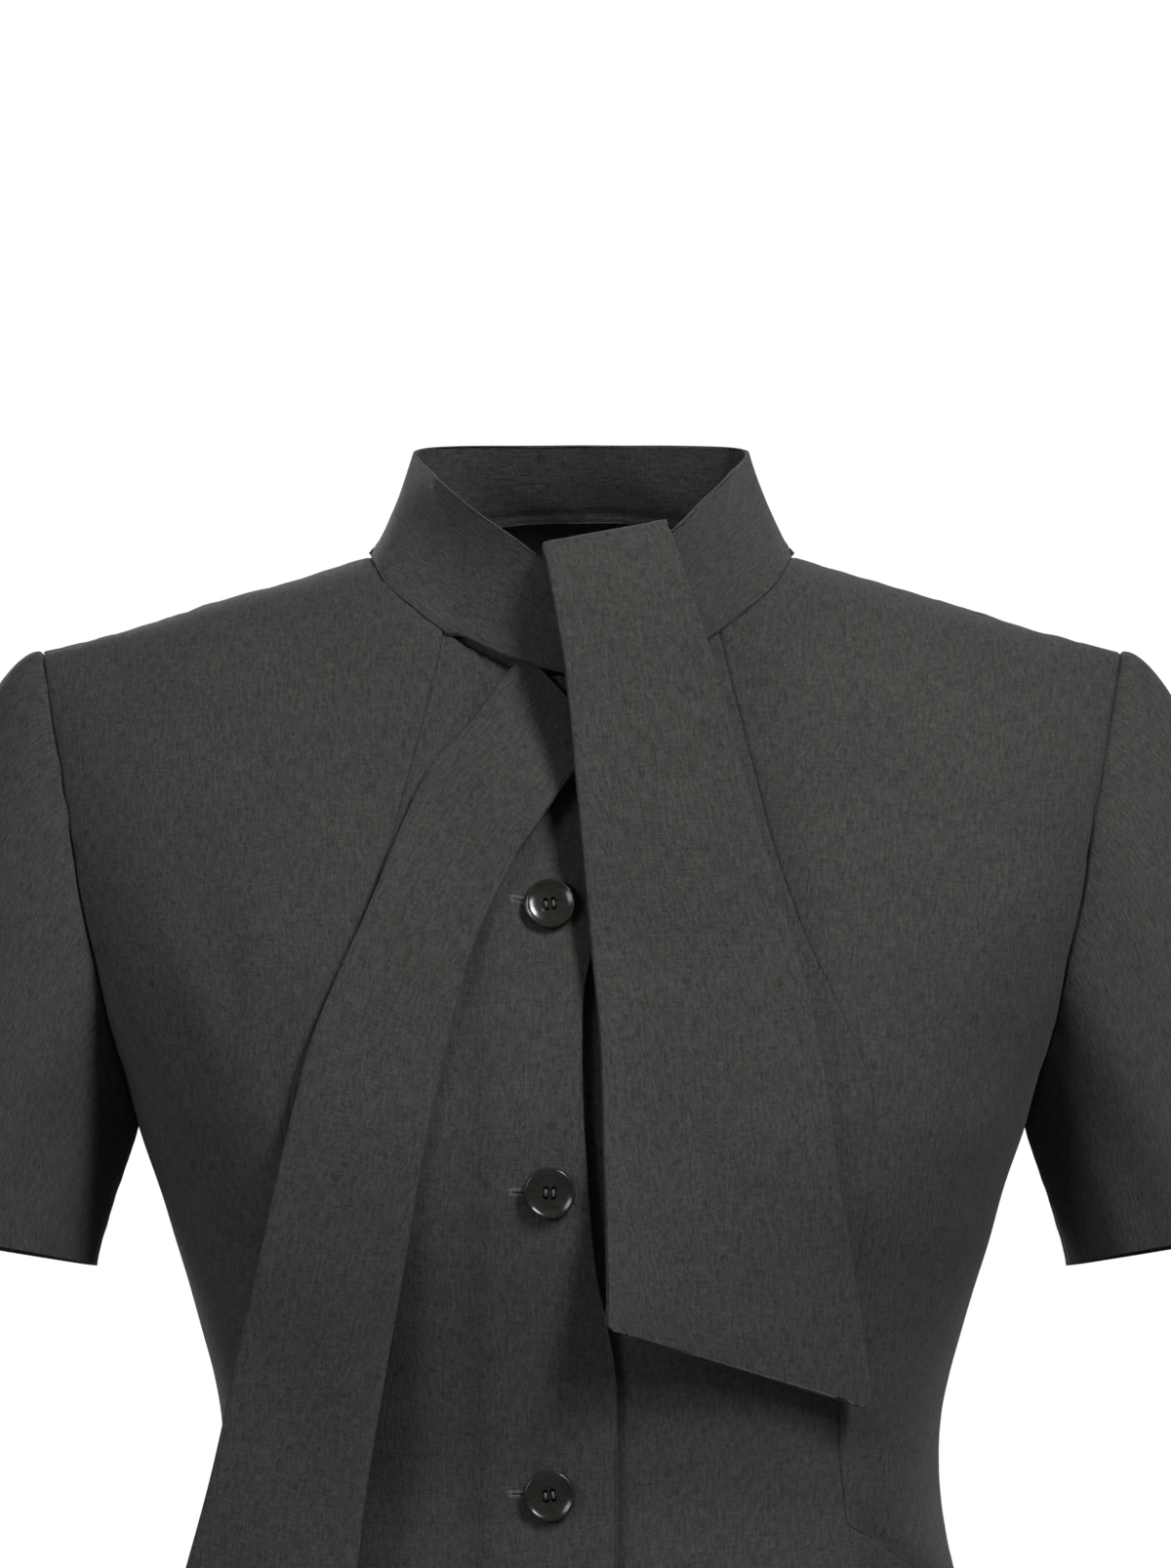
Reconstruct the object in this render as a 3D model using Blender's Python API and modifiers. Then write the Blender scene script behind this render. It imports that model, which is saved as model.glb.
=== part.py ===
# Tie-neck jacket: short-sleeved, fitted, single-breasted, worn shape with nobody in it.
# Metres, +Z up, the front faces -Y and the wearer's right is -X.
# The origin lies midway between the two side-neck points, where the shoulders hold it.

import math
from bisect import bisect_right
from collections import namedtuple

import bmesh
import bpy
from mathutils import Matrix, Vector

# Cloth and clearances
BODY_CLOTH = 0.0020  # wall of fronts, backs and sleeves
COLLAR_CLOTH = 0.0024
TIE_CLOTH = 0.0022  # two layers pressed flat
SEAM_HALF = 0.00018  # each piece stops this far short of its seam
SEAM_DIP = 0.0004  # how far a pressed seam lies below the cloth beside it
AIR = 0.0004  # between a piece and what it lies on

# Main sizes
SIDE_NECK = 0.0825  # half the distance between the side-neck points
UNDERARM = -0.2265
HEM = -0.563
WAIST_CORNER = -0.3785  # where the princess seam meets the pocket mouth
POCKET_SLOPE = 0.87  # drop of the pocket mouth for each unit outwards
UNDERLAP = 0.030  # wearer's left front runs this far past the middle
OVERLAP_CLEAR = 0.003  # the over front is fully raised this far past the under front's edge
OVERLAP_FADE = 0.013  # then it steps down to the body over this width
MOUTH_RAISE = 0.0012  # the pocket mouth's edge stands proud
MOUTH_FADE = 0.028  # how far below the mouth the cloth is level again
MOUTH_START = 0.010  # the edge rises over this width beside the princess seam
COLLAR_HOLLOW = 0.0014  # the collar's curve in between foot and top
COLLAR_LINE = (1.0, 0.66, 0.33, 0.0)  # where its points lie, top to foot
COLLAR_FOOT = 0.0003  # its foot stands this far above the neckline's points
COLLAR_MIDDLE_Y = 0.010  # the collar curves towards this line inside the neck
SHOULDER_ROUND = 0.120  # height over which the shoulder rolls over
ROLL_LENGTH = 0.160  # length along the cloth of that roll

# Rows of cloth cells: neck or shoulder to underarm, underarm to pocket, pocket to hem
UPPER_ROWS = 10
MIDDLE_ROWS = 7
LOWER_ROWS = 6
NARROW_STEP = 0.12  # share of a row's height left for the narrow row beside a seam
SHOULDER_PARTS = (0.0, 0.2, 0.4, 0.6, 0.8, 0.965, 1.0)  # across the shoulder, front and back alike
FRONT_EDGE_PARTS = (0.0, 0.33, 0.67, 1.0)  # from the front's edge to the end of the raised part
FRONT_MAIN_PARTS = (0.0, 0.30, 0.62, 0.95, 1.0)  # from there to the princess seam
SOLVE_STEPS = 12

BUTTON_RADIUS = 0.010
BUTTON_X = -0.0122
BUTTON_LEVELS = {"button_top": -0.1386, "button_middle": -0.2480, "button_bottom": -0.3660}
SHANK = 0.0005  # room for the thread under a button

CLOTH_COLOUR = (0.052, 0.052, 0.057, 1)
BUTTON_COLOUR = (0.012, 0.012, 0.014, 1)


def table(columns, *rows):
    """A short table whose rows can be read by column name."""
    row_type = namedtuple("Row", columns)
    return [row_type(*row) for row in rows]


# The worn body, level by level. Squareness is the power of the section's curve: 2 is an ellipse.
TORSO = table(
    "level half_width front back front_square back_square",
    (0.040, 0.2220, 0.0720, 0.1050, 2.5, 2.6),
    (-0.030, 0.2220, 0.0745, 0.1000, 2.5, 2.6),
    (-0.060, 0.2220, 0.0790, 0.0995, 2.5, 2.6),
    (-0.105, 0.2200, 0.0900, 0.1015, 2.5, 2.6),
    (-0.136, 0.2130, 0.1000, 0.1045, 2.5, 2.6),
    (-0.161, 0.2040, 0.1075, 0.1055, 2.6, 2.5),
    (-0.188, 0.1910, 0.1145, 0.1050, 2.7, 2.5),
    (-0.208, 0.1820, 0.1180, 0.1035, 2.8, 2.4),
    (-0.2265, 0.1760, 0.1205, 0.1010, 2.8, 2.4),
    (-0.259, 0.1654, 0.1195, 0.0950, 2.7, 2.3),
    (-0.292, 0.1556, 0.1145, 0.0885, 2.5, 2.3),
    (-0.327, 0.1460, 0.1075, 0.0830, 2.4, 2.3),
    (-0.364, 0.1419, 0.1020, 0.0800, 2.3, 2.3),
    (-0.395, 0.1460, 0.1040, 0.0840, 2.3, 2.3),
    (-0.440, 0.1580, 0.1085, 0.0960, 2.4, 2.4),
    (-0.500, 0.1705, 0.1145, 0.1110, 2.4, 2.4),
    (-0.563, 0.1790, 0.1190, 0.1200, 2.4, 2.4),
)

SHOULDER = table(
    "out level",
    (0.0825, 0.0),
    (0.0950, -0.0032),
    (0.1200, -0.0110),
    (0.1420, -0.0175),
    (0.1770, -0.0283),
    (0.2000, -0.0345),
    (0.2300, -0.0420),
)

FRONT_NECK = table(
    "out level",
    (0.0, -0.0490),
    (0.0120, -0.0488),
    (0.0278, -0.0456),
    (0.0412, -0.0385),
    (0.0540, -0.0298),
    (0.0650, -0.0212),
    (0.0760, -0.0110),
    (0.0825, 0.0),
)

ARMHOLE = table(
    "level out",
    (-0.0300, 0.2150),
    (-0.0380, 0.2148),
    (-0.0556, 0.2115),
    (-0.0790, 0.2070),
    (-0.1050, 0.2020),
    (-0.1360, 0.1970),
    (-0.1610, 0.1910),
    (-0.1880, 0.1855),
    (-0.2080, 0.1805),
    (-0.2265, 0.1760),
)

# Seam from the neckline over the fullest part of the bust to the pocket
PRINCESS = table(
    "level out",
    (-0.0298, 0.0540),
    (-0.0500, 0.0585),
    (-0.0760, 0.0648),
    (-0.0940, 0.0695),
    (-0.1150, 0.0748),
    (-0.1500, 0.0870),
    (-0.1800, 0.1010),
    (-0.2080, 0.1120),
    (-0.2265, 0.1125),
    (-0.2600, 0.1095),
    (-0.2900, 0.1050),
    (-0.3310, 0.1005),
    (-0.3560, 0.1010),
    (-0.3785, 0.1035),
)

# Where the over front's free edge lies; it strains back a little between the buttons
FRONT_EDGE = table(
    "level x",
    (-0.0480, 0.0139),
    (-0.1000, 0.0135),
    (-0.1386, 0.0095),
    (-0.1650, 0.0024),
    (-0.1864, 0.0005),
    (-0.2181, 0.0008),
    (-0.2441, 0.0029),
    (-0.2780, 0.0061),
    (-0.2970, 0.0099),
    (-0.3157, 0.0133),
    (-0.3350, 0.0139),
    (-0.5630, 0.0139),
)

# Where the panels' columns and the band's foot meet the neckline, out from the middle
FRONT_NECK_OUT = (0.0540, 0.0598, 0.0680, 0.0765, SIDE_NECK)
BACK_NECK_OUT = (0.0, 0.0045, 0.0300, 0.0520, 0.0680, 0.0770, SIDE_NECK)

# The sewn half of the collar, from the princess seam round to the centre back: its top edge
COLLAR_HALF = table(
    "face x top_x top_y top_z",
    ("front", 0.0540, 0.0580, -0.0190, 0.0312),
    ("front", 0.0598, 0.0608, -0.0100, 0.0342),
    ("front", 0.0680, 0.0640, 0.0010, 0.0374),
    ("front", 0.0765, 0.0662, 0.0120, 0.0402),
    ("front", SIDE_NECK, 0.0672, 0.0220, 0.0425),
    ("back", 0.0770, 0.0655, 0.0305, 0.0440),
    ("back", 0.0680, 0.0600, 0.0380, 0.0450),
    ("back", 0.0520, 0.0480, 0.0435, 0.0458),
    ("back", 0.0300, 0.0290, 0.0465, 0.0462),
    ("back", 0.0045, 0.0045, 0.0480, 0.0463),
)

# The over end at the throat stands off the neckline, forward and up, on the wearer's right
COLLAR_OVER_END = table(
    "x forward up top_x top_y top_z",
    (0.0120, 0.0120, -0.0022, 0.0140, -0.0800, -0.0140),
    (0.0, 0.0112, 0.0, -0.0010, -0.0765, -0.0088),
    (-0.0120, 0.0100, 0.0024, -0.0150, -0.0712, -0.0028),
    (-0.0220, 0.0080, 0.0032, -0.0260, -0.0630, 0.0052),
    (-0.0330, 0.0052, 0.0034, -0.0390, -0.0490, 0.0146),
    (-0.0440, 0.0022, 0.0022, -0.0495, -0.0345, 0.0232),
)

# The under end is sewn on to its hidden tip behind the over end
COLLAR_UNDER_END = table(
    "x top_x top_y top_z",
    (0.0460, 0.0500, -0.0350, 0.0232),
    (0.0330, 0.0370, -0.0570, 0.0098),
    (0.0122, 0.0150, -0.0680, -0.0050),
)

# The over tie from its fold at the throat down over the bust: its two edges, row by row
OVER_TIE = table(
    "left_x left_z left_depth right_x right_z right_depth",
    (-0.0155, 0.0035, 0.0755, 0.0336, 0.0130, 0.0630),
    (-0.0120, -0.0138, 0.0890, 0.0407, -0.0076, 0.0790),
    (-0.0082, -0.0347, 0.0940, 0.0456, -0.0232, 0.0850),
    (-0.0048, -0.0612, 0.0980, 0.0534, -0.0483, 0.0910),
    (-0.0027, -0.0858, 0.1030, 0.0609, -0.0782, 0.0980),
    (0.0005, -0.1197, 0.1100, 0.0717, -0.1160, 0.1060),
    (0.0039, -0.1573, 0.1180, 0.0814, -0.1487, 0.1110),
    (0.0070, -0.1909, 0.1250, 0.0893, -0.1769, 0.1140),
    (0.0082, -0.2320, 0.1300, 0.0958, -0.2099, 0.1150),
    (0.0091, -0.2618, 0.1320, 0.1002, -0.2455, 0.1110),
    (0.0098, -0.2880, 0.1320, 0.1090, -0.2976, 0.0990),
    (0.0095, -0.3000, 0.1310, 0.1135, -0.3350, 0.0900),
)
OVER_TIE_LIFT = 0.0060  # its face is at least this far above the body's
FOLD_REACH = 0.0050  # radius of the fold over the band
FOLD_INSIDE = 0.016  # how far it runs down inside the collar

# The under tie comes from under the band and crosses the other side
UNDER_TIE = table(
    "left_x left_z left_depth right_x right_z right_depth",
    (-0.0215, -0.0390, 0.0690, 0.0080, -0.0700, 0.0800),
    (-0.0270, -0.0446, 0.0720, 0.0016, -0.0801, 0.0900),
    (-0.0432, -0.0660, 0.0820, -0.0097, -0.0952, 0.0980),
    (-0.0560, -0.0800, 0.0865, -0.0170, -0.1060, 0.1005),
    (-0.0655, -0.0960, 0.0900, -0.0256, -0.1187, 0.1030),
    (-0.0823, -0.1368, 0.1000, -0.0421, -0.1544, 0.1110),
    (-0.1023, -0.1829, 0.1080, -0.0537, -0.2001, 0.1180),
    (-0.1133, -0.2225, 0.1120, -0.0611, -0.2342, 0.1220),
    (-0.1233, -0.2671, 0.1090, -0.0687, -0.2790, 0.1200),
    (-0.1330, -0.3088, 0.1000, -0.0759, -0.3199, 0.1150),
    (-0.1432, -0.3549, 0.0920, -0.0836, -0.3666, 0.1110),
    (-0.1542, -0.3954, 0.0880, -0.0889, -0.4067, 0.1120),
    (-0.1670, -0.4420, 0.0870, -0.0945, -0.4300, 0.1140),
)
UNDER_TIE_LIFT = 0.0052
TIE_COLUMNS = 6
FOLD_STEPS = 4

# Sleeve: leaving direction at its seam, and the cuff's ellipse
SLEEVE_TOP = Vector((0.020, 0.0, 0.004))
SLEEVE_FRONT = Vector((0.013, -0.008, -0.018))
SLEEVE_BACK = Vector((0.013, 0.010, -0.018))
SLEEVE_UNDER = Vector((0.0040, 0.0, -0.014))
CUFF_CENTRE = Vector((0.2450, -0.0060, -0.2737))
CUFF_OUT = Vector((0.986, 0.0, 0.168))
CUFF_FORWARD = Vector((0.0, -0.997, 0.076))
CUFF_HALF_WIDTH = 0.0530
CUFF_HALF_DEPTH = 0.0590
SLEEVE_ROWS = 8
SLEEVE_FIRST_ROW = 0.014  # share of the sleeve's length in the narrow row beside the armhole
SLEEVE_SEAM_HALF = 0.00027
ARMHOLE_HALF_DEPTH = 0.055  # the armhole's size, for the turn of each point round it
ARMHOLE_HALF_HEIGHT = 0.095
CUFF_REACH = 0.44  # share of the way over which the sleeve runs in line with the cuff
CUFF_REACH_TOP = 0.16  # and this much more at the top, less below

# A button's turned outline, from the middle of its face round to the middle of its back
BUTTON_PROFILE = table(
    "radius height",
    (0.0, 0.0016),
    (0.0060, 0.0018),
    (0.0072, 0.0026),
    (0.0086, 0.0031),
    (0.0097, 0.0026),
    (BUTTON_RADIUS, 0.0016),
    (0.0094, 0.0005),
    (0.0070, 0.0),
    (0.0, 0.0),
)
HOLE_RADIUS = 0.00095
HOLE_SPREAD = 0.0016
HOLE_DEPTH = 0.010
BUTTON_SIDES = 24
HOLE_SIDES = 8
BUTTON_SEAT = 0.008  # the cloth is taken as level over this far from its middle

FRONT = {"way": -1, "depth": "front", "square": "front_square", "roll": 2.2, "rise": 0.015}
BACK = {"way": 1, "depth": "back", "square": "back_square", "roll": 3.0, "rise": 0.028}
BACK_NECK_RISE = 0.017  # centre-back neck above the side-neck points


def smooth(rows, column, at):
    """Value of a table's column at a place down its first column, a smooth curve through the rows."""
    keys = [row[0] for row in rows]
    values = [getattr(row, column) for row in rows]
    if keys[0] > keys[-1]:
        keys.reverse()
        values.reverse()
    if at <= keys[0]:
        return values[0]
    if at >= keys[-1]:
        return values[-1]
    below = bisect_right(keys, at) - 1
    span = keys[below + 1] - keys[below]

    def tangent(index):
        first = max(index - 1, 0)
        last = min(index + 1, len(keys) - 1)
        return (values[last] - values[first]) / (keys[last] - keys[first])

    part = (at - keys[below]) / span
    rise = values[below + 1] - values[below]
    ease = part * part * (3 - 2 * part)
    start_pull = part * (1 - part) ** 2 * span * tangent(below)
    end_pull = part * part * (part - 1) * span * tangent(below + 1)
    return values[below] + rise * ease + start_pull + end_pull


def blend(start, end, part):
    return start + (end - start) * part


def fade(part):
    """1 at 0, 0 at 1 and beyond, with soft ends."""
    part = min(max(part, 0.0), 1.0)
    return 1 - part * part * (3 - 2 * part)


# The worn surface

def shoulder_level(face, x):
    """Height of the shoulder line; inside the side-neck point it is only a guide that rises to the middle."""
    if abs(x) >= SIDE_NECK:
        return smooth(SHOULDER, "level", abs(x))
    return face["rise"] * (1 - (x / SIDE_NECK) ** 2)


def neck_level(face, x):
    """Height of the top edge: the neckline, then the shoulder line."""
    if abs(x) >= SIDE_NECK:
        return smooth(SHOULDER, "level", abs(x))
    if face is FRONT:
        return smooth(FRONT_NECK, "level", abs(x))
    return BACK_NECK_RISE * (1 - (x / SIDE_NECK) ** 2) ** 0.9


def depth_at(face, x, z):
    """How far the cloth's outer face stands before or behind the shoulder plane."""
    square = smooth(TORSO, face["square"], z)
    across = min(abs(x) / smooth(TORSO, "half_width", z), 1.0)
    full = smooth(TORSO, face["depth"], z) * (1 - across ** square) ** (1 / square)
    fall = (shoulder_level(face, x) - z) / SHOULDER_ROUND
    if fall >= 1:
        return full
    roll = face["roll"]
    return full * (1 - (1 - max(fall, 0.0)) ** roll) ** (1 / roll)


def body_point(face, x, z):
    return Vector((x, face["way"] * depth_at(face, x, z), z))


def length_down(face, x, z):
    """Distance down the cloth from the shoulder line, near enough to space the rows."""
    fall = (shoulder_level(face, x) - z) / SHOULDER_ROUND
    if fall >= 1:
        return ROLL_LENGTH + (fall - 1) * SHOULDER_ROUND
    turn = math.acos((1 - max(fall, 0.0)) ** (face["roll"] / 2))
    return ROLL_LENGTH * turn / (math.pi / 2)


def level_at_length(face, x, length):
    """The height that lies a given distance down the cloth."""
    if length >= ROLL_LENGTH:
        fall = 1 + (length - ROLL_LENGTH) / SHOULDER_ROUND
    else:
        fall = 1 - math.cos(length / ROLL_LENGTH * math.pi / 2) ** (2 / face["roll"])
    return shoulder_level(face, x) - fall * SHOULDER_ROUND


def side_edge(z):
    """Outer edge of the panels: the armhole, then the side seam."""
    if z > UNDERARM:
        return smooth(ARMHOLE, "out", z)
    return smooth(TORSO, "half_width", z)


def princess_edge(z):
    return smooth(PRINCESS, "out", z)


def pocket_level(x):
    return WAIST_CORNER - POCKET_SLOPE * (x - PRINCESS[-1].out)


def solve_level(column, level_of):
    """Height where a column's line meets an edge that is given as height over x."""
    z = level_of(column(0.0))
    for _ in range(SOLVE_STEPS):
        z = level_of(column(z))
    return z


def pocket_end():
    return solve_level(side_edge, pocket_level)


def round_columns(inner, outer, parts):
    """Column lines between two edges, evenly spaced round the body."""
    def line(part):
        def x_at(z):
            half = smooth(TORSO, "half_width", z)
            first = math.asin(min(inner(z) / half, 1.0))
            last = math.asin(min(outer(z) / half, 1.0))
            return half * math.sin(blend(first, last, part))
        return x_at
    return [line(part) for part in parts]


def row_point(face, column, top, bottom, part):
    """The point a given part of the way down a column, between two heights."""
    start = length_down(face, column(top), top)
    end = length_down(face, column(bottom), bottom)
    z = blend(top, bottom, part)
    for _ in range(SOLVE_STEPS):
        z = level_at_length(face, column(z), blend(start, end, part))
    if part == 0:
        z = top
    if part == 1:
        z = bottom
    return body_point(face, column(z), z)


def row_parts(count, narrow_first=False, narrow_last=False):
    """Even steps from 0 to 1, with a narrow step beside a seam."""
    parts = [index / count for index in range(count + 1)]
    if narrow_first:
        parts.insert(1, NARROW_STEP / count)
    if narrow_last:
        parts.insert(-1, 1 - NARROW_STEP / count)
    return parts


UPPER_PARTS = row_parts(UPPER_ROWS, narrow_first=True)
MOUTH_PARTS = row_parts(MIDDLE_ROWS, narrow_last=True)
HIP_PARTS = row_parts(LOWER_ROWS, narrow_first=True)


def column_points(face, column, levels, sections):
    """Points down one column through its sections, each between two heights."""
    points = [row_point(face, column, levels[0], levels[1], 0.0)]
    for top, bottom, parts in zip(levels, levels[1:], sections):
        points += [row_point(face, column, top, bottom, part) for part in parts[1:]]
    return points


# Cloth pieces from grids of points

def normals_of(grid):
    """Outward normal at each grid point from its neighbours; a grid is columns of points."""
    normals = []
    last_column = len(grid) - 1
    for i, column in enumerate(grid):
        line = []
        last_row = len(column) - 1
        for j in range(len(column)):
            beside = grid[min(i + 1, last_column)][j] - grid[max(i - 1, 0)][j]
            below = column[min(j + 1, last_row)] - column[max(j - 1, 0)]
            line.append(below.cross(beside).normalized())
        normals.append(line)
    return normals


def lifted(grid, lift):
    """The grid moved out along its normals; lift takes column, row and the point."""
    normals = normals_of(grid)
    moved = []
    for i, column in enumerate(grid):
        moved.append([point + normals[i][j] * lift(i, j, point) for j, point in enumerate(column)])
    return moved


def trimmed(grid, left=True, right=True, top=True, bottom=True):
    """The grid with its seam edges drawn in to leave the gap between pieces."""
    moved = [list(column) for column in grid]
    last = len(grid) - 1
    for j in range(len(grid[0])):
        if left:
            moved[0][j] = grid[0][j] + (grid[1][j] - grid[0][j]).normalized() * SEAM_HALF
        if right:
            moved[last][j] = grid[last][j] + (grid[last - 1][j] - grid[last][j]).normalized() * SEAM_HALF
    for column in moved:
        if top:
            column[0] = column[0] + (column[1] - column[0]).normalized() * SEAM_HALF
        if bottom:
            column[-1] = column[-1] + (column[-2] - column[-1]).normalized() * SEAM_HALF
    return moved


def mirrored(grid):
    """The same piece for the other side; the column order turns so that it still faces out."""
    return [[Vector((-point.x, point.y, point.z)) for point in column] for column in reversed(grid)]


def cloth(name, grid, wall, closed=False, missing=None):
    """A shell on a grid of points: an open surface, thickened inwards by Solidify."""
    columns = len(grid)
    rows = len(grid[0])
    points = [point for column in grid for point in column]
    faces = []
    for i in range(columns if closed else columns - 1):
        for j in range(rows - 1):
            if missing and missing(i, j):
                continue
            beside = (i + 1) % columns
            faces.append((i * rows + j, i * rows + j + 1, beside * rows + j + 1, beside * rows + j))
    mesh = bpy.data.meshes.new(name)
    mesh.from_pydata([tuple(point) for point in points], [], faces)
    shape = bmesh.new()
    shape.from_mesh(mesh)
    loose = [vertex for vertex in shape.verts if not vertex.link_faces]
    bmesh.ops.delete(shape, geom=loose, context="VERTS")
    shape.to_mesh(mesh)
    shape.free()
    mesh.shade_smooth()
    piece = bpy.data.objects.new(name, mesh)
    thick = piece.modifiers.new("Wall", "SOLIDIFY")
    thick.thickness = wall
    thick.offset = -1.0
    return piece


# Fronts

def front_columns(edge):
    """Column lines of a centre front from its edge near the middle to the princess seam."""
    step = UNDERLAP + OVERLAP_CLEAR
    columns = []
    for part in FRONT_EDGE_PARTS:
        columns.append(lambda z, part=part: blend(edge(z), step, part))
    for part in FRONT_MAIN_PARTS:
        columns.append(lambda z, part=part: blend(step + OVERLAP_FADE, princess_edge(z), part))
    return columns


def front_grid(edge):
    """A centre front with its hip part: its upper side rows stop at the princess seam."""
    end = pocket_end()
    grid = []
    sections = (UPPER_PARTS, MOUTH_PARTS, HIP_PARTS)
    for column in front_columns(edge):
        top = solve_level(column, lambda x: neck_level(FRONT, x))
        levels = (top, UNDERARM, WAIST_CORNER, HEM)
        grid.append(column_points(FRONT, column, levels, sections))
    corner = len(grid) - 1
    first_hip_row = len(UPPER_PARTS) + len(MOUTH_PARTS) - 2
    inner_hip = lambda z: PRINCESS[-1].out
    shares = top_shares(FRONT_NECK_OUT)[1:]
    for share, column in zip(shares, round_columns(inner_hip, side_edge, shares)):
        top = end if share == 1.0 else solve_level(column, pocket_level)
        hip = column_points(FRONT, column, (top, HEM), (HIP_PARTS,))
        above = hip[0] + (hip[0] - hip[1]) * 0.01  # stands in for the side panel's rows
        grid.append([above] * first_hip_row + hip)
    return grid, corner, first_hip_row


def front_lift(corner, first_hip_row, over):
    """How far a centre front's points are raised or pressed down."""
    def lift(i, j, point):
        raised = 0.0
        if over:
            past = point.x - UNDERLAP - OVERLAP_CLEAR
            raised = (BODY_CLOTH + AIR) * fade(past / OVERLAP_FADE)
        if i == corner and j <= first_hip_row:
            raised -= SEAM_DIP
        if i > corner:
            down = pocket_level(point.x) - point.z
            past_corner = (point.x - PRINCESS[-1].out) / MOUTH_START
            raised += MOUTH_RAISE * fade(down / MOUTH_FADE) * (1 - fade(past_corner))
        return raised
    return lift


def trim_front(grid, corner, first_hip_row):
    """Draws in a centre front's neckline, princess seam, pocket mouth and side seam."""
    moved = trimmed(grid, left=False, right=False, top=False, bottom=False)
    for i in range(corner + 1):
        moved[i][0] = grid[i][0] + (grid[i][1] - grid[i][0]).normalized() * SEAM_HALF
    for j in range(first_hip_row + 1):
        inward = (grid[corner - 1][j] - grid[corner][j]).normalized()
        moved[corner][j] = moved[corner][j] + inward * SEAM_HALF
    for i in range(corner + 1, len(grid)):
        first = grid[i][first_hip_row]
        down = (grid[i][first_hip_row + 1] - first).normalized()
        moved[i][first_hip_row] = first + down * SEAM_HALF
    for j in range(first_hip_row, len(grid[0])):
        inward = (grid[-2][j] - grid[-1][j]).normalized()
        moved[-1][j] = moved[-1][j] + inward * SEAM_HALF
    return moved


def front(name, over):
    """The wearer's left front lies under and is built as it is; the right one lies over, mirrored."""
    if over:
        edge = lambda z: -smooth(FRONT_EDGE, "x", z)
    else:
        edge = lambda z: -UNDERLAP
    grid, corner, first_hip_row = front_grid(edge)
    lift = front_lift(corner, first_hip_row, over)
    grid = trim_front(lifted(grid, lift), corner, first_hip_row)
    missing = lambda i, j: i >= corner and j < first_hip_row
    if over:
        cells = len(grid)
        grid = mirrored(grid)
        missing = lambda i, j: i < cells - 1 - corner and j < first_hip_row
    return cloth(name, grid, BODY_CLOTH, missing=missing)


def top_shares(neck_places):
    """Where a panel's columns lie across its top: at the places on the neckline, then on the shoulder."""
    start = math.asin(neck_places[0] / TORSO[0].half_width)
    neck = math.asin(SIDE_NECK / TORSO[0].half_width)
    tip = math.asin(ARMHOLE[0].out / TORSO[0].half_width)
    shares = [(math.asin(out / TORSO[0].half_width) - start) / (tip - start) for out in neck_places]
    for part in SHOULDER_PARTS[1:]:
        shares.append(blend((neck - start) / (tip - start), 1.0, part))
    return shares


def side_front_grid():
    """Side panel from the princess seam to the armhole and side seam, down to the pocket mouth."""
    parts = top_shares(FRONT_NECK_OUT)
    grid = []
    end = pocket_end()
    for column in round_columns(princess_edge, side_edge, parts):
        top = solve_level(column, lambda x: neck_level(FRONT, x))
        bottom = solve_level(column, pocket_level)
        if parts[len(grid)] == 1.0:
            bottom = end
        levels = (top, UNDERARM, bottom)
        grid.append(column_points(FRONT, column, levels, (UPPER_PARTS, MOUTH_PARTS)))
    return grid


def back_grid():
    """A back from the centre-back seam to the armhole and side seam, neck to hem."""
    parts = top_shares(BACK_NECK_OUT)
    grid = []
    end = pocket_end()
    middle = lambda z: 0.0
    for column in round_columns(middle, side_edge, parts):
        top = solve_level(column, lambda x: neck_level(BACK, x))
        levels = (top, UNDERARM, end, HEM)
        grid.append(column_points(BACK, column, levels, (UPPER_PARTS, MOUTH_PARTS, HIP_PARTS)))
    return grid


def seam_dip(grid, left, right, bottom):
    """Presses the points on seam edges a little below the cloth beside them."""
    last_column = len(grid) - 1
    last_row = len(grid[0]) - 1

    def lift(i, j, point):
        on_seam = j == 0 or (left and i == 0) or (right and i == last_column) or (bottom and j == last_row)
        return -SEAM_DIP if on_seam else 0.0
    return lifted(grid, lift)


def side_front(name, side):
    grid = trimmed(seam_dip(side_front_grid(), True, True, True))
    if side < 0:
        grid = mirrored(grid)
    return cloth(name, grid, BODY_CLOTH)


def back(name, side):
    grid = trimmed(seam_dip(list(reversed(back_grid())), True, True, False), bottom=False)
    if side < 0:
        grid = mirrored(grid)
    return cloth(name, grid, BODY_CLOTH)


# Sleeves

def armhole_ring():
    """Points round the armhole from the shoulder tip, down the front and up the back."""
    front_line = side_front_grid()[-1]
    back_line = back_grid()[-1]
    count = len(UPPER_PARTS)
    down = front_line[:count]
    up = back_line[1:count - 1]
    return down + list(reversed(up))


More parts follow.
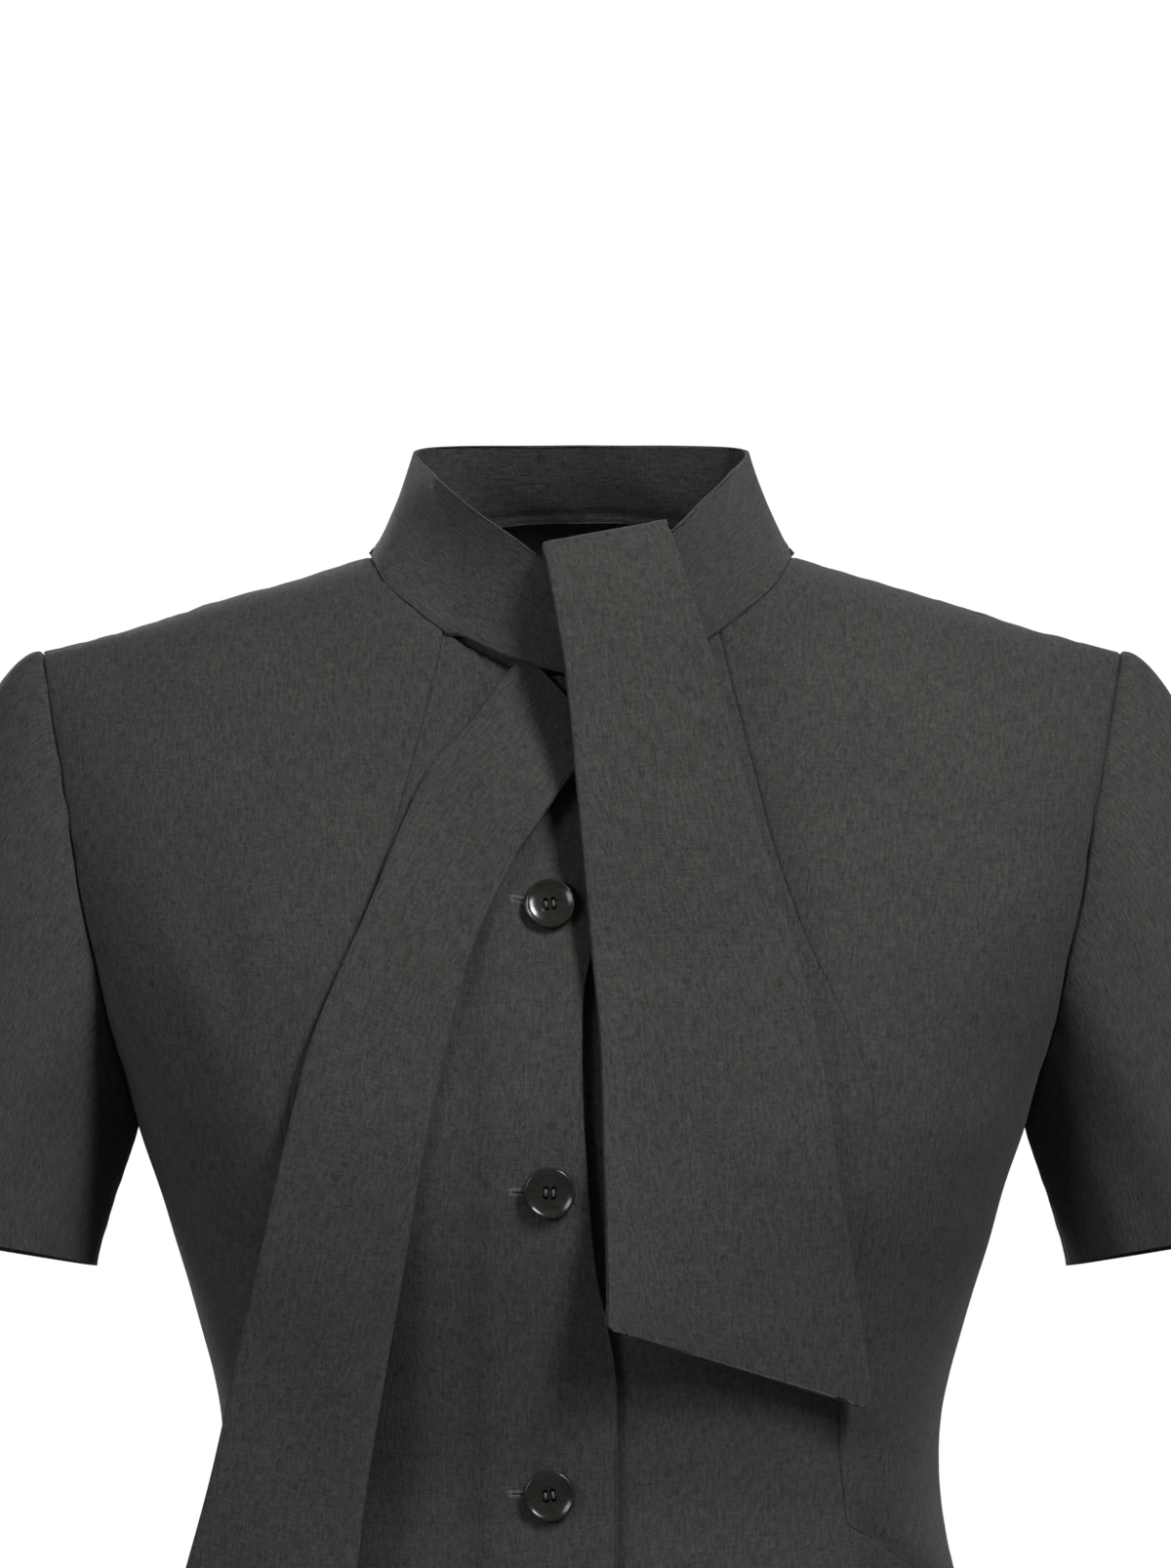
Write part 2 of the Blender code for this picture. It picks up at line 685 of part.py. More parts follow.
def sleeve(name, side):
    """One-piece short sleeve: a tube from the armhole to the cuff's ellipse."""
    ring = armhole_ring()
    axis = CUFF_FORWARD.cross(CUFF_OUT).normalized()
    if axis.z > 0:
        axis = -axis
    centre = sum(ring, Vector()) / len(ring)
    grid = []
    for start in ring:
        seen = start - centre
        turn = math.atan2(-seen.y / ARMHOLE_HALF_DEPTH, seen.z / ARMHOLE_HALF_HEIGHT)
        top_share = max(math.cos(turn), 0.0)
        under_share = max(-math.cos(turn), 0.0)
        side_share = math.sin(turn) ** 2
        leave = SLEEVE_TOP * top_share + SLEEVE_UNDER * under_share
        leave += (SLEEVE_FRONT if seen.y < 0 else SLEEVE_BACK) * side_share
        end = CUFF_CENTRE + CUFF_OUT * CUFF_HALF_WIDTH * math.cos(turn)
        end += CUFF_FORWARD * CUFF_HALF_DEPTH * math.sin(turn)
        reach = (end - start).length * (CUFF_REACH + CUFF_REACH_TOP * math.cos(turn))
        control = end - axis * reach
        parts = [0.0, SLEEVE_FIRST_ROW] + [row / SLEEVE_ROWS for row in range(1, SLEEVE_ROWS + 1)]
        grid.append([bezier(start, start + leave, control, end, part) for part in parts])
    grid = ring_dip(grid)
    for line in grid:
        line[0] = line[0] + (line[1] - line[0]).normalized() * SLEEVE_SEAM_HALF
    if side < 0:
        grid = [[Vector((-point.x, point.y, point.z)) for point in line] for line in grid]
    else:
        grid = list(reversed(grid))
    return cloth(name, grid, BODY_CLOTH, closed=True)


def bezier(start, leave, arrive, end, part):
    rest = 1 - part
    point = start * rest ** 3 + leave * 3 * part * rest ** 2
    return point + arrive * 3 * part ** 2 * rest + end * part ** 3


def ring_dip(grid):
    """Presses the seam end of a tube in towards its middle."""
    centre = sum((line[0] for line in grid), Vector()) / len(grid)
    for line in grid:
        inward = centre - line[0]
        inward.x = 0
        line[0] = line[0] + inward.normalized() * SEAM_DIP
    return grid


# Collar and ties

def collar_line(face, x, offset, top):
    """Points of the collar from its top edge down to its foot, a little hollow between."""
    foot = body_point(face, x, neck_level(face, x)) + offset + Vector((0, 0, COLLAR_FOOT))
    line = []
    for part in COLLAR_LINE:
        point = foot.lerp(top, part)
        inward = Vector((-point.x, COLLAR_MIDDLE_Y - point.y, 0)).normalized()
        line.append(point + inward * COLLAR_HOLLOW * math.sin(math.pi * part))
    return line


def collar():
    """Stand collar leaning in to the neck; its over end stands free of the neckline at the throat."""
    grid = []
    for row in COLLAR_OVER_END:
        offset = Vector((0, -row.forward, row.up))
        grid.append(collar_line(FRONT, row.x, offset, Vector((row.top_x, row.top_y, row.top_z))))
    sewn = []
    for row in COLLAR_HALF:
        face = FRONT if row.face == "front" else BACK
        sewn.append(collar_line(face, row.x, Vector(), Vector((row.top_x, row.top_y, row.top_z))))
    other_side = [[Vector((-point.x, point.y, point.z)) for point in line] for line in sewn]
    grid += other_side + list(reversed(sewn))
    for row in COLLAR_UNDER_END:
        grid.append(collar_line(FRONT, row.x, Vector(), Vector((row.top_x, row.top_y, row.top_z))))
    return cloth("collar_band", list(reversed(grid)), COLLAR_CLOTH)


def tie_rows(rows, lift):
    """Grid of a tie from its two edges; its face stays clear of the body and hangs where it is free."""
    grid = []
    for column in range(TIE_COLUMNS + 1):
        part = column / TIE_COLUMNS
        line = []
        for row in rows:
            x = blend(row.left_x, row.right_x, part)
            z = blend(row.left_z, row.right_z, part)
            hang = blend(row.left_depth, row.right_depth, part)
            line.append(Vector((x, -max(hang, depth_at(FRONT, x, z) + lift), z)))
        grid.append(line)
    return grid


def tie_over():
    """Tie end that turns over the band: up from inside the collar, over its edge and down the front."""
    grid = tie_rows(OVER_TIE, OVER_TIE_LIFT)
    folded = []
    for line in grid:
        first = line[0]
        centre = Vector((first.x, first.y + FOLD_REACH, first.z - FOLD_REACH))
        start = [centre + Vector((0, FOLD_REACH, -FOLD_INSIDE))]
        for step in range(FOLD_STEPS + 1):
            turn = math.pi * step / FOLD_STEPS
            start.append(centre + Vector((0, math.cos(turn), math.sin(turn))) * FOLD_REACH)
        folded.append(start + line[1:])
    return cloth("tie_end_over", folded, TIE_CLOTH)


def tie_under():
    """Tie end that passes under the band and falls across the wearer's right front."""
    return cloth("tie_end_under", tie_rows(UNDER_TIE, UNDER_TIE_LIFT), TIE_CLOTH)


# Buttons

def button_mesh(cutters):
    """Four-hole button with a raised rim, its back at the origin and its face up +Z."""
    profile = bpy.data.meshes.new("button_profile")
    points = [(row.radius, 0, row.height) for row in BUTTON_PROFILE]
    edges = [(index, index + 1) for index in range(len(points) - 1)]
    profile.from_pydata(points, edges, [])
    turned = bpy.data.objects.new("button_turned", profile)
    bpy.context.scene.collection.objects.link(turned)
    screw = turned.modifiers.new("Turn", "SCREW")
    screw.steps = BUTTON_SIDES
    screw.render_steps = BUTTON_SIDES
    screw.use_merge_vertices = True
    screw.merge_threshold = 0.00001
    for index in range(4):
        angle = math.pi / 4 + index * math.pi / 2
        place = (HOLE_SPREAD * math.cos(angle), HOLE_SPREAD * math.sin(angle), 0.0)
        bpy.ops.mesh.primitive_cylinder_add(
            vertices=HOLE_SIDES, radius=HOLE_RADIUS, depth=HOLE_DEPTH, location=place
        )
        cutter = bpy.context.active_object
        cutter.name = f"button_hole_{index + 1}"
        cutter.hide_render = True
        cutter.display_type = "WIRE"
        for other in cutter.users_collection:
            other.objects.unlink(cutter)
        cutters.objects.link(cutter)
        cut = turned.modifiers.new(f"Hole {index + 1}", "BOOLEAN")
        cut.operation = "DIFFERENCE"
        cut.object = cutter
    bpy.context.view_layer.update()
    whole = turned.evaluated_get(bpy.context.evaluated_depsgraph_get())
    mesh = bpy.data.meshes.new_from_object(whole)
    mesh.name = "button"
    bpy.data.objects.remove(turned)
    return mesh


def button(name, mesh):
    """A button on the over front's face, square to the cloth."""
    z = BUTTON_LEVELS[name]
    place = body_point(FRONT, BUTTON_X, z)
    below = body_point(FRONT, BUTTON_X, z - BUTTON_SEAT)
    above = body_point(FRONT, BUTTON_X, z + BUTTON_SEAT)
    viewer_left = body_point(FRONT, BUTTON_X - BUTTON_SEAT, z)
    viewer_right = body_point(FRONT, BUTTON_X + BUTTON_SEAT, z)
    down = below - above
    across = viewer_right - viewer_left
    out = down.cross(across).normalized()
    across.normalize()
    up = out.cross(across)
    lift = BODY_CLOTH + AIR + SHANK
    piece = bpy.data.objects.new(name, mesh)
    turned = Matrix((across, up, out)).transposed().to_4x4()
    piece.matrix_world = Matrix.Translation(place + out * lift) @ turned
    return piece


def material(name, colour, roughness):
    """A plain surface colour for one kind of part."""
    finish = bpy.data.materials.new(name)
    finish.use_nodes = True
    shader = finish.node_tree.nodes["Principled BSDF"]
    shader.inputs["Base Color"].default_value = colour
    shader.inputs["Roughness"].default_value = roughness
    shader.inputs["Metallic"].default_value = 0.0
    return finish


def build():
    for item in list(bpy.data.objects):
        bpy.data.objects.remove(item)
    jacket = bpy.data.collections.new("tie_neck_jacket")
    cutters = bpy.data.collections.new("cutters")
    bpy.context.scene.collection.children.link(jacket)
    bpy.context.scene.collection.children.link(cutters)
    suiting = material("suiting", CLOTH_COLOUR, 0.85)
    horn = material("button_gloss", BUTTON_COLOUR, 0.22)
    pieces = [
        front("front_left", over=False),
        front("front_right", over=True),
        side_front("side_front_left", 1),
        side_front("side_front_right", -1),
        back("back_left", 1),
        back("back_right", -1),
        sleeve("sleeve_left", 1),
        sleeve("sleeve_right", -1),
        collar(),
        tie_over(),
        tie_under(),
    ]
    for piece in pieces:
        piece.data.materials.append(suiting)
        jacket.objects.link(piece)
    mesh = button_mesh(cutters)
    mesh.materials.clear()
    mesh.materials.append(horn)
    for name in BUTTON_LEVELS:
        jacket.objects.link(button(name, mesh))


build()
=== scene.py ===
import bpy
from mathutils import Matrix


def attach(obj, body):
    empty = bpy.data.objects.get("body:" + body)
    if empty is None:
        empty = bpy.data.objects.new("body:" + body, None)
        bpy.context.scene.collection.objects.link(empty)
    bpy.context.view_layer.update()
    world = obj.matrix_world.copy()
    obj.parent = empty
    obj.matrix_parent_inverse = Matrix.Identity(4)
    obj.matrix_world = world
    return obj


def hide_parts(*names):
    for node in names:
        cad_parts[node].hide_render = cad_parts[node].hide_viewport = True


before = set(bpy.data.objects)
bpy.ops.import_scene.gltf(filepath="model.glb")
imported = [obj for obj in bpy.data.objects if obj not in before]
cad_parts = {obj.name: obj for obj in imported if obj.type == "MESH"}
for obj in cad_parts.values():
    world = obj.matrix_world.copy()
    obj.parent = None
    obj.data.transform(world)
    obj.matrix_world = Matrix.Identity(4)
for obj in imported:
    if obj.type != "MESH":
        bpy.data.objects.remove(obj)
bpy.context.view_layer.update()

import math

import bpy
import numpy as np
from mathutils import Matrix, Vector

# Tie-neck jacket, worn shape. Metres, the front faces -Y, the wearer's right is -X.


def metres(rows):  # the long lists are in millimetres
    return [[value if isinstance(value, str) else value / 1000 for value in row] for row in rows]


def asTable(columns, *rows, scale=1000):  # named columns, sorted by the first; a Square is a bare power
    grid = np.array(rows, float)
    grid = grid[np.argsort(grid[:, 0])]
    names = columns.split()
    return {name: grid[:, k] if "Square" in name else grid[:, k] / scale for k, name in enumerate(names)}


def curveThrough(keys, values, at):  # smooth curve through the values, level past the ends
    at = np.clip(at, keys[0], keys[-1])
    i = np.clip(np.searchsorted(keys, at, side="right") - 1, 0, len(keys) - 2)
    before = np.maximum(np.arange(len(keys)) - 1, 0)
    after = np.minimum(np.arange(len(keys)) + 1, len(keys) - 1)
    slope = (values[after] - values[before]) / (keys[after] - keys[before])
    span = keys[i + 1] - keys[i]
    t = (at - keys[i]) / span
    ease = t * t * (3 - 2 * t)
    pull = t * (1 - t) ** 2 * slope[i] - t * t * (1 - t) * slope[i + 1]
    return values[i] + (values[i + 1] - values[i]) * ease + pull * span


def read(table, column, at):
    names = list(table)
    return curveThrough(table[names[0]], table[column], at)


def fade(part):  # 1 at 0, 0 at 1 and beyond
    part = np.clip(part, 0, 1)
    return 1 - part * part * (3 - 2 * part)


def unit(vectors):
    return vectors / np.maximum(np.linalg.norm(vectors, axis=-1, keepdims=True), 1e-12)


def addPiece(name, data):
    piece = bpy.data.objects.new(name, data)
    bpy.context.scene.collection.objects.link(piece)
    return piece


def plainMesh(piece):  # the mesh of a curve, or of a piece with its modifiers worked out
    bpy.context.view_layer.update()
    return bpy.data.meshes.new_from_object(piece.evaluated_get(bpy.context.evaluated_depsgraph_get()))


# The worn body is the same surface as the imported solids.

torso = asTable(
    "level halfWidth front back frontSquare backSquare",
    (40, 222, 72, 105, 2.5, 2.6), (-30, 222, 74.5, 100, 2.5, 2.6), (-60, 222, 79, 99.5, 2.5, 2.6),
    (-105, 220, 90, 101.5, 2.5, 2.6), (-136, 213, 100, 104.5, 2.5, 2.6), (-161, 204, 107.5, 105.5, 2.6, 2.5),
    (-188, 191, 114.5, 105, 2.7, 2.5), (-208, 182, 118, 103.5, 2.8, 2.4), (-226.5, 176, 120.5, 101, 2.8, 2.4),
    (-259, 165.4, 119.5, 95, 2.7, 2.3), (-292, 155.6, 114.5, 88.5, 2.5, 2.3), (-327, 146, 107.5, 83, 2.4, 2.3),
    (-364, 141.9, 102, 80, 2.3, 2.3), (-395, 146, 104, 84, 2.3, 2.3), (-440, 158, 108.5, 96, 2.4, 2.4),
    (-500, 170.5, 114.5, 111, 2.4, 2.4), (-563, 179, 119, 120, 2.4, 2.4),
)
shoulder = asTable(
    "out level",
    (82.5, 0), (95, -3.2), (120, -11), (142, -17.5), (177, -28.3), (200, -34.5), (230, -42),
)
frontNeck = asTable(
    "out level",
    (0, -49), (12, -48.8), (27.8, -45.6), (41.2, -38.5), (54, -29.8), (65, -21.2), (76, -11), (82.5, 0),
)
armhole = asTable(
    "level out",
    (-30, 215), (-38, 214.8), (-55.6, 211.5), (-79, 207), (-105, 202), (-136, 197), (-161, 191), (-188, 185.5),
    (-208, 180.5), (-226.5, 176),
)
princess = asTable(
    "level out",
    (-29.8, 54), (-50, 58.5), (-76, 64.8), (-94, 69.5), (-115, 74.8), (-150, 87), (-180, 101), (-208, 112),
    (-226.5, 112.5), (-260, 109.5), (-290, 105), (-331, 100.5), (-356, 101), (-378.5, 103.5),
)
frontEdge = asTable(
    "level x",
    (-48, 13.9), (-100, 13.5), (-138.6, 9.5), (-165, 2.4), (-186.4, 0.5), (-218.1, 0.8), (-244.1, 2.9),
    (-278, 6.1), (-297, 9.9), (-315.7, 13.3), (-335, 13.9), (-563, 13.9),
)
body = {
    "sideNeck": 0.0825,
    "underarm": -0.2265,
    "hem": -0.563,
    "corner": -0.3785,  # princess seam meets the pocket mouth
    "cornerOut": 0.1035,
    "pocketSlope": 0.87,
    "underlap": 0.030,
    "overRaise": 0.0024,
    "roundHeight": 0.120,
    "rollLength": 0.160,
    "backNeckRise": 0.017,
}
frontSide = {"way": -1, "depth": "front", "square": "frontSquare", "roll": 2.2, "rise": 0.015}
backSide = {"way": 1, "depth": "back", "square": "backSquare", "roll": 3.0, "rise": 0.028}


def shoulderLevel(side, x):
    x = np.abs(x)
    guide = side["rise"] * (1 - np.minimum(x / body["sideNeck"], 1) ** 2)
    return np.where(x >= body["sideNeck"], read(shoulder, "level", x), guide)


def neckLevel(side, x):
    x = np.abs(x)
    if side is frontSide:
        inner = read(frontNeck, "level", x)
    else:
        inner = body["backNeckRise"] * (1 - np.minimum(x / body["sideNeck"], 1) ** 2) ** 0.9
    return np.where(x >= body["sideNeck"], read(shoulder, "level", x), inner)


def depthAt(side, x, z):
    square = read(torso, side["square"], z)
    across = np.minimum(np.abs(x) / read(torso, "halfWidth", z), 1.0)
    full = read(torso, side["depth"], z) * (1 - across ** square) ** (1 / square)
    fall = np.clip((shoulderLevel(side, x) - z) / body["roundHeight"], 0, 1)
    return full * (1 - (1 - fall) ** side["roll"]) ** (1 / side["roll"])


def bodyPoint(side, x, z):
    x, z = np.broadcast_arrays(np.asarray(x, float), np.asarray(z, float))
    return np.stack([x, side["way"] * depthAt(side, x, z), z], axis=-1)


def lengthDown(side, x, z):
    fall = (shoulderLevel(side, x) - z) / body["roundHeight"]
    turn = np.arccos(np.clip(1 - fall, 0, 1) ** (side["roll"] / 2))
    rolled = body["rollLength"] * turn / (math.pi / 2)
    return np.where(fall >= 1, body["rollLength"] + (fall - 1) * body["roundHeight"], rolled)


def levelAtLength(side, x, length):
    share = np.clip(length / body["rollLength"], 0, 1)
    rolled = 1 - np.cos(share * math.pi / 2) ** (2 / side["roll"])
    straight = 1 + (length - body["rollLength"]) / body["roundHeight"]
    fall = np.where(length >= body["rollLength"], straight, rolled)
    return shoulderLevel(side, x) - fall * body["roundHeight"]


def sideEdge(z):
    return np.where(z > body["underarm"], read(armhole, "out", z), read(torso, "halfWidth", z))


def princessEdge(z):
    return read(princess, "out", z)


def pocketLevel(x):
    return body["corner"] - body["pocketSlope"] * (x - body["cornerOut"])


def meetLevel(column, levelOf):  # height where a column meets an edge
    z = levelOf(column(0.0))
    for _ in range(14):
        z = levelOf(column(z))
    return z


def roundColumn(inner, outer, share):  # a column that lies a share of the way round between two edges
    def xAt(z):
        half = read(torso, "halfWidth", z)
        first = np.arcsin(np.clip(inner(z) / half, -1, 1))
        last = np.arcsin(np.clip(outer(z) / half, -1, 1))
        return half * np.sin(first + (last - first) * share)
    return xAt


seamSteps = (0.0004, 0.0008, 0.0014, 0.0022)  # close rows and columns beside an edge
seamLook = {
    "edgeRound": 0.00022, "overlap": 0.00006, "dip": 0.00055, "rollWidth": 0.0014,
    "pressed": 0.00010, "pressedReach": 0.004, "pucker": 0.00018, "puckerReach": 0.007,
}


def spaced(count, reach, first=True, last=True):  # shares from 0 to 1, closer beside the edges
    close = [step / reach for step in seamSteps]
    low = close[-1] * 1.4 if first else 0
    high = 1 - close[-1] * 1.4 if last else 1
    inside = [share for share in np.linspace(0, 1, count + 1)[1:-1] if low < share < high]
    start = [0.0] + (close if first else [])
    end = ([1 - share for share in reversed(close)] if last else []) + [1.0]
    return np.array(start + inside + end)


def columnGrid(side, column, levels, sections):
    # x and z down a set of columns, evenly along the cloth between the given heights
    rows = []
    for k, parts in enumerate(sections):
        top, bottom = levels[k], levels[k + 1]
        start = lengthDown(side, column(top), top)
        end = lengthDown(side, column(bottom), bottom)
        z = top + (bottom - top) * parts
        for _ in range(12):
            z = levelAtLength(side, column(z), start + (end - start) * parts)
        z = np.where(parts == 0, top, np.where(parts == 1, bottom, z))
        rows.append(z[:, 1:] if k else z)
    z = np.concatenate(rows, axis=1)
    return column(z), z


def bodyNormal(side, x, z, step=0.0004):
    across = bodyPoint(side, x + step, z) - bodyPoint(side, x - step, z)
    down = bodyPoint(side, x, z - step) - bodyPoint(side, x, z + step)
    return unit(np.cross(down, across) * -side["way"])


def gridNormals(grid):  # columns across, rows down, facing out
    across = np.empty_like(grid)
    across[1:-1] = grid[2:] - grid[:-2]
    across[0] = grid[1] - grid[0]
    across[-1] = grid[-1] - grid[-2]
    down = np.empty_like(grid)
    down[:, 1:-1] = grid[:, 2:] - grid[:, :-2]
    down[:, 0] = grid[:, 1] - grid[:, 0]
    down[:, -1] = grid[:, -1] - grid[:, -2]
    return unit(np.cross(down, across))


def runLength(grid, axis):  # distance along the cloth from the first row or column
    step = np.linalg.norm(np.diff(grid, axis=axis), axis=-1)
    zero = np.zeros_like(np.take(step, [0], axis=axis))
    return np.cumsum(np.concatenate([zero, step], axis=axis), axis=axis)


def clothMap(grid, strip=False):  # each point's place on the flat cloth, in metres
    across, down = runLength(grid, 0), runLength(grid, 1)
    column, row = int(round((grid.shape[0] - 1) / 2)), grid.shape[1] // 2
    if strip:  # a long band, whose threads run with its middle line
        across = across[:, row:row + 1] + 0 * across
        return np.stack([down - down[:, row:row + 1], across - across[column]], axis=-1)
    return np.stack([across - across[column], -np.broadcast_to(down[column], down.shape)], axis=-1)


def bodyMap(side, x, z, turn=0.0):  # round the body across, and down it along the grain, from the underarm line
    share = x / read(torso, "halfWidth", z)
    across, down = np.zeros_like(x), np.zeros_like(x)
    before = [None, None]
    for part in np.linspace(0, 1, 21):
        level = body["underarm"] + (z - body["underarm"]) * part
        now = [bodyPoint(side, x * part, z), bodyPoint(side, share * read(torso, "halfWidth", level), level)]
        if part > 0:
            across += np.linalg.norm(now[0] - before[0], axis=-1)
            down += np.linalg.norm(now[1] - before[1], axis=-1)
        before = now
    across, down = across * np.sign(x), down * np.sign(z - body["underarm"])
    c, t = math.cos(turn), math.sin(turn)
    return np.stack([across * c - down * t, across * t + down * c], axis=-1)


def gridFaces(columns, rows, missing=None):
    faces = []
    for i in range(columns - 1):
        for j in range(rows - 1):
            if missing is None or not missing(i, j):
                here, beside = i * rows + j, (i + 1) * rows + j
                faces.append((here, here + 1, beside + 1, beside))
    return np.array(faces)


def facesNormals(points, faces):
    a, b, c, d = (points[faces[:, k]] for k in range(4))
    face = np.cross(c - a, d - b)
    normal = np.zeros_like(points)
    for k in range(4):
        np.add.at(normal, faces[:, k], face)
    return unit(normal)


def clothShell(name, points, faces, flat, wall, material, sewn=None, wayOut=None):
    # A wall of cloth under an open surface. Free edges are rounded over like a fold. Sewn ones turn in
    # sharply and run a hair past the seam, times the given share, so that the two pieces meet.
    points, flat = points.reshape(-1, 3), flat.reshape(-1, 2)
    used = np.unique(faces)
    lookup = np.full(len(points), -1)
    lookup[used] = np.arange(len(used))
    wall = np.broadcast_to(np.ravel(wall), len(lookup))[used]
    sewn = np.zeros(len(used)) if sewn is None else sewn.ravel()[used].astype(float)
    points, flat, faces = points[used], flat[used], lookup[faces]
    normal = facesNormals(points, faces) if wayOut is None else wayOut.reshape(-1, 3)[used]
    count = len(points)
    edges = {(a, b) for k in range(4) for a, b in zip(faces[:, k].tolist(), faces[:, (k + 1) % 4].tolist())}
    after = {a: b for a, b in edges if (b, a) not in edges}
    before = {b: a for a, b in after.items()}
    rim = np.array(sorted(after))
    nextOne = np.array([after[a] for a in rim.tolist()])
    lastOne = np.array([before[a] for a in rim.tolist()])
    way, came = unit(points[nextOne] - points[rim]), unit(points[rim] - points[lastOne])
    outward = unit(np.cross(way + came, normal[rim]))
    thick = wall[rim][:, None]
    radius = np.where(sewn[rim][:, None] > 0, seamLook["edgeRound"], thick / 2)
    past = sewn[rim][:, None] * seamLook["overlap"]
    outer = points.copy()
    outer[rim] = points[rim] + outward * (past - radius)
    inner = outer - normal * wall[:, None]
    corner = 0.293  # how far a 45 degree point of a round edge stays inside its square
    rings = [  # upper corner of the edge, middle of its side, lower corner
        outer[rim] + outward * radius * (1 - corner) - normal[rim] * radius * corner,
        outer[rim] + outward * radius - normal[rim] * thick / 2,
        outer[rim] + outward * radius * (1 - corner) - normal[rim] * (thick - radius * corner),
    ]
    allPoints = np.concatenate([outer, inner] + rings)
    place = {a: k for k, a in enumerate(rim.tolist())}
    nextPlace = np.array([place[b] for b in nextOne.tolist()])
    layers = [rim] + [2 * count + k * len(rim) + np.arange(len(rim)) for k in range(3)] + [rim + count]
    strips = []
    for upper, lower in zip(layers, layers[1:]):
        strips.append(np.stack([upper, lower, lower[nextPlace], upper[nextPlace]], axis=1))
    allFaces = np.concatenate([faces, faces[:, ::-1] + count] + strips)
    allFlat = np.concatenate([flat, flat] + [flat[rim]] * 3)
    mesh = bpy.data.meshes.new(name)
    mesh.vertices.add(len(allPoints))
    mesh.vertices.foreach_set("co", allPoints.astype(np.float32).ravel())
    mesh.loops.add(len(allFaces) * 4)
    mesh.loops.foreach_set("vertex_index", allFaces.astype(np.int32).ravel())
    mesh.polygons.add(len(allFaces))
    mesh.polygons.foreach_set("loop_start", (np.arange(len(allFaces)) * 4).astype(np.int32))
    mesh.update(calc_edges=True)
    layer = mesh.uv_layers.new(name="cloth")
    layer.data.foreach_set("uv", allFlat[allFaces.ravel()].astype(np.float32).ravel())
    mesh.validate()
    mesh.shade_smooth()
    mesh.materials.append(material)
    return addPiece(name, mesh)


def soften(a, b, reach):  # the greater of two depths, with a soft change from one to the other
    return (a + b + np.sqrt((a - b) ** 2 + reach * reach)) / 2


def creases(table, x, z):
    # soft ridges (height > 0) and hollows, each along a bent line that dies away at both ends
    lift = np.zeros_like(x)
    for k in range(len(table["x1"])):
        row = {name: column[k] for name, column in table.items()}
        ax, az = row["x1"], row["z1"]
        dx, dz = row["x2"] - ax, row["z2"] - az
        length = math.hypot(dx, dz)
        t = ((x - ax) * dx + (z - az) * dz) / length ** 2
        off = ((x - ax) * dz - (z - az) * dx) / length - row["bend"] * 4 * t * (1 - t)
        along = np.clip(t, 0, 1)
        ends = np.where((t > 0) & (t < 1), np.sin(math.pi * along) ** 1.3, 0)
        near = off / row["width"]
        lift += row["height"] * ends * (np.exp(-near ** 2) - 0.45 * np.exp(-(near - 1.5) ** 2))
    return lift


def ripples(x, z, seed, size, reach):  # low uneven waves of the cloth, no two alike
    rng = np.random.default_rng(seed)
    total = np.zeros_like(x)
    for _ in range(14):
        turn = rng.uniform(0, math.pi)
        wave = 2 * math.pi / (reach * rng.uniform(0.6, 1.8))
        total += np.sin((x * math.cos(turn) + z * math.sin(turn)) * wave + rng.uniform(0, 6.3))
    return total * size / 14 ** 0.5


def seamDip(distance, along, seed, strength=1.0):
    # a sewn edge: it rolls in at the stitches, and the cloth beside it is pressed and pulls a little
    look = seamLook
    roll = -look["dip"] * np.clip(1 - distance / look["rollWidth"], 0, 1) ** 2
    pressed = -look["pressed"] * np.exp(-(distance / look["pressedReach"]) ** 2)
    rng = np.random.default_rng(seed)
    pull = sum(np.sin(along * 2 * math.pi / rng.uniform(0.006, 0.026) + rng.uniform(0, 6.3)) for _ in range(6))
    pulled = look["pucker"] * pull / 6 ** 0.5 * np.exp(-(distance / look["puckerReach"]) ** 2)
    return (roll + pressed + pulled) * strength


# Fronts
frontLook = {
    "acrossCells": 62, "upperCells": 128, "hipCells": 82, "hipAcrossCells": 44,
    "wall": 0.0014, "hemWall": 0.0022, "hemDepth": 0.038,
    "underSink": 0.0022,  # how far the under front lies below the over front
}
mouth = {  # the pocket mouth: its lower lip stands up, the cloth behind it sinks, and both close at its ends
    "raise": 0.0048, "fade": 0.019, "start": 0.012, "end": 0.020,
    "under": 0.011, "sink": 0.0030, "sinkReach": 0.014,
}
bodyWaves = {"size": 0.00035, "reach": 0.060}
frontCreases = asTable(
    "x1 z1 x2 z2 bend width height",
    (-150, -60, -100, -200, 6, 14, 1.1), (-176, -120, -120, -250, -6, 11, 1.2),
    (-190, -150, -150, -225, 4, 8, 1), (-120, -300, -70, -345, 4, 7, 0.7), (-135, -350, -80, -372, -3, 8, 0.9),
    (-60, -255, -20, -249, 3, 6, 0.5), (-50, -375, -16, -367, -3, 6, 0.6), (160, -50, 120, -190, -6, 15, 1),
    (184, -110, 128, -235, 7, 11, 1.2), (188, -160, 150, -240, -3, 8, 0.9), (130, -310, 85, -350, -4, 8, 0.8),
    (138, -372, 60, -362, 4, 9, 0.8), (118, -178, 96, -236, -3, 5, 1), (108, -196, 113, -246, 2, 4, -0.8),
    (-126, -130, -122, -232, 3, 6, 0.8), (-116, -196, -108, -262, -2, 5, -0.8),
)
backCreases = asTable(
    "x1 z1 x2 z2 bend width height",
    (-160, -70, -90, -210, 8, 15, 1.2), (170, -60, 100, -190, -7, 14, 1.1),
    (-185, -140, -120, -260, -6, 11, 1.2), (182, -150, 110, -270, 6, 12, 1),
    (-130, -340, -30, -365, 4, 10, 1.1), (126, -350, 40, -378, -5, 9, 1), (-110, -400, -50, -388, -3, 9, 0.7),
    (-60, -20, 50, -26, 4, 10, 0.7), (90, -440, 110, -560, 4, 16, 1.2), (-100, -430, -120, -560, -4, 17, 1),
)


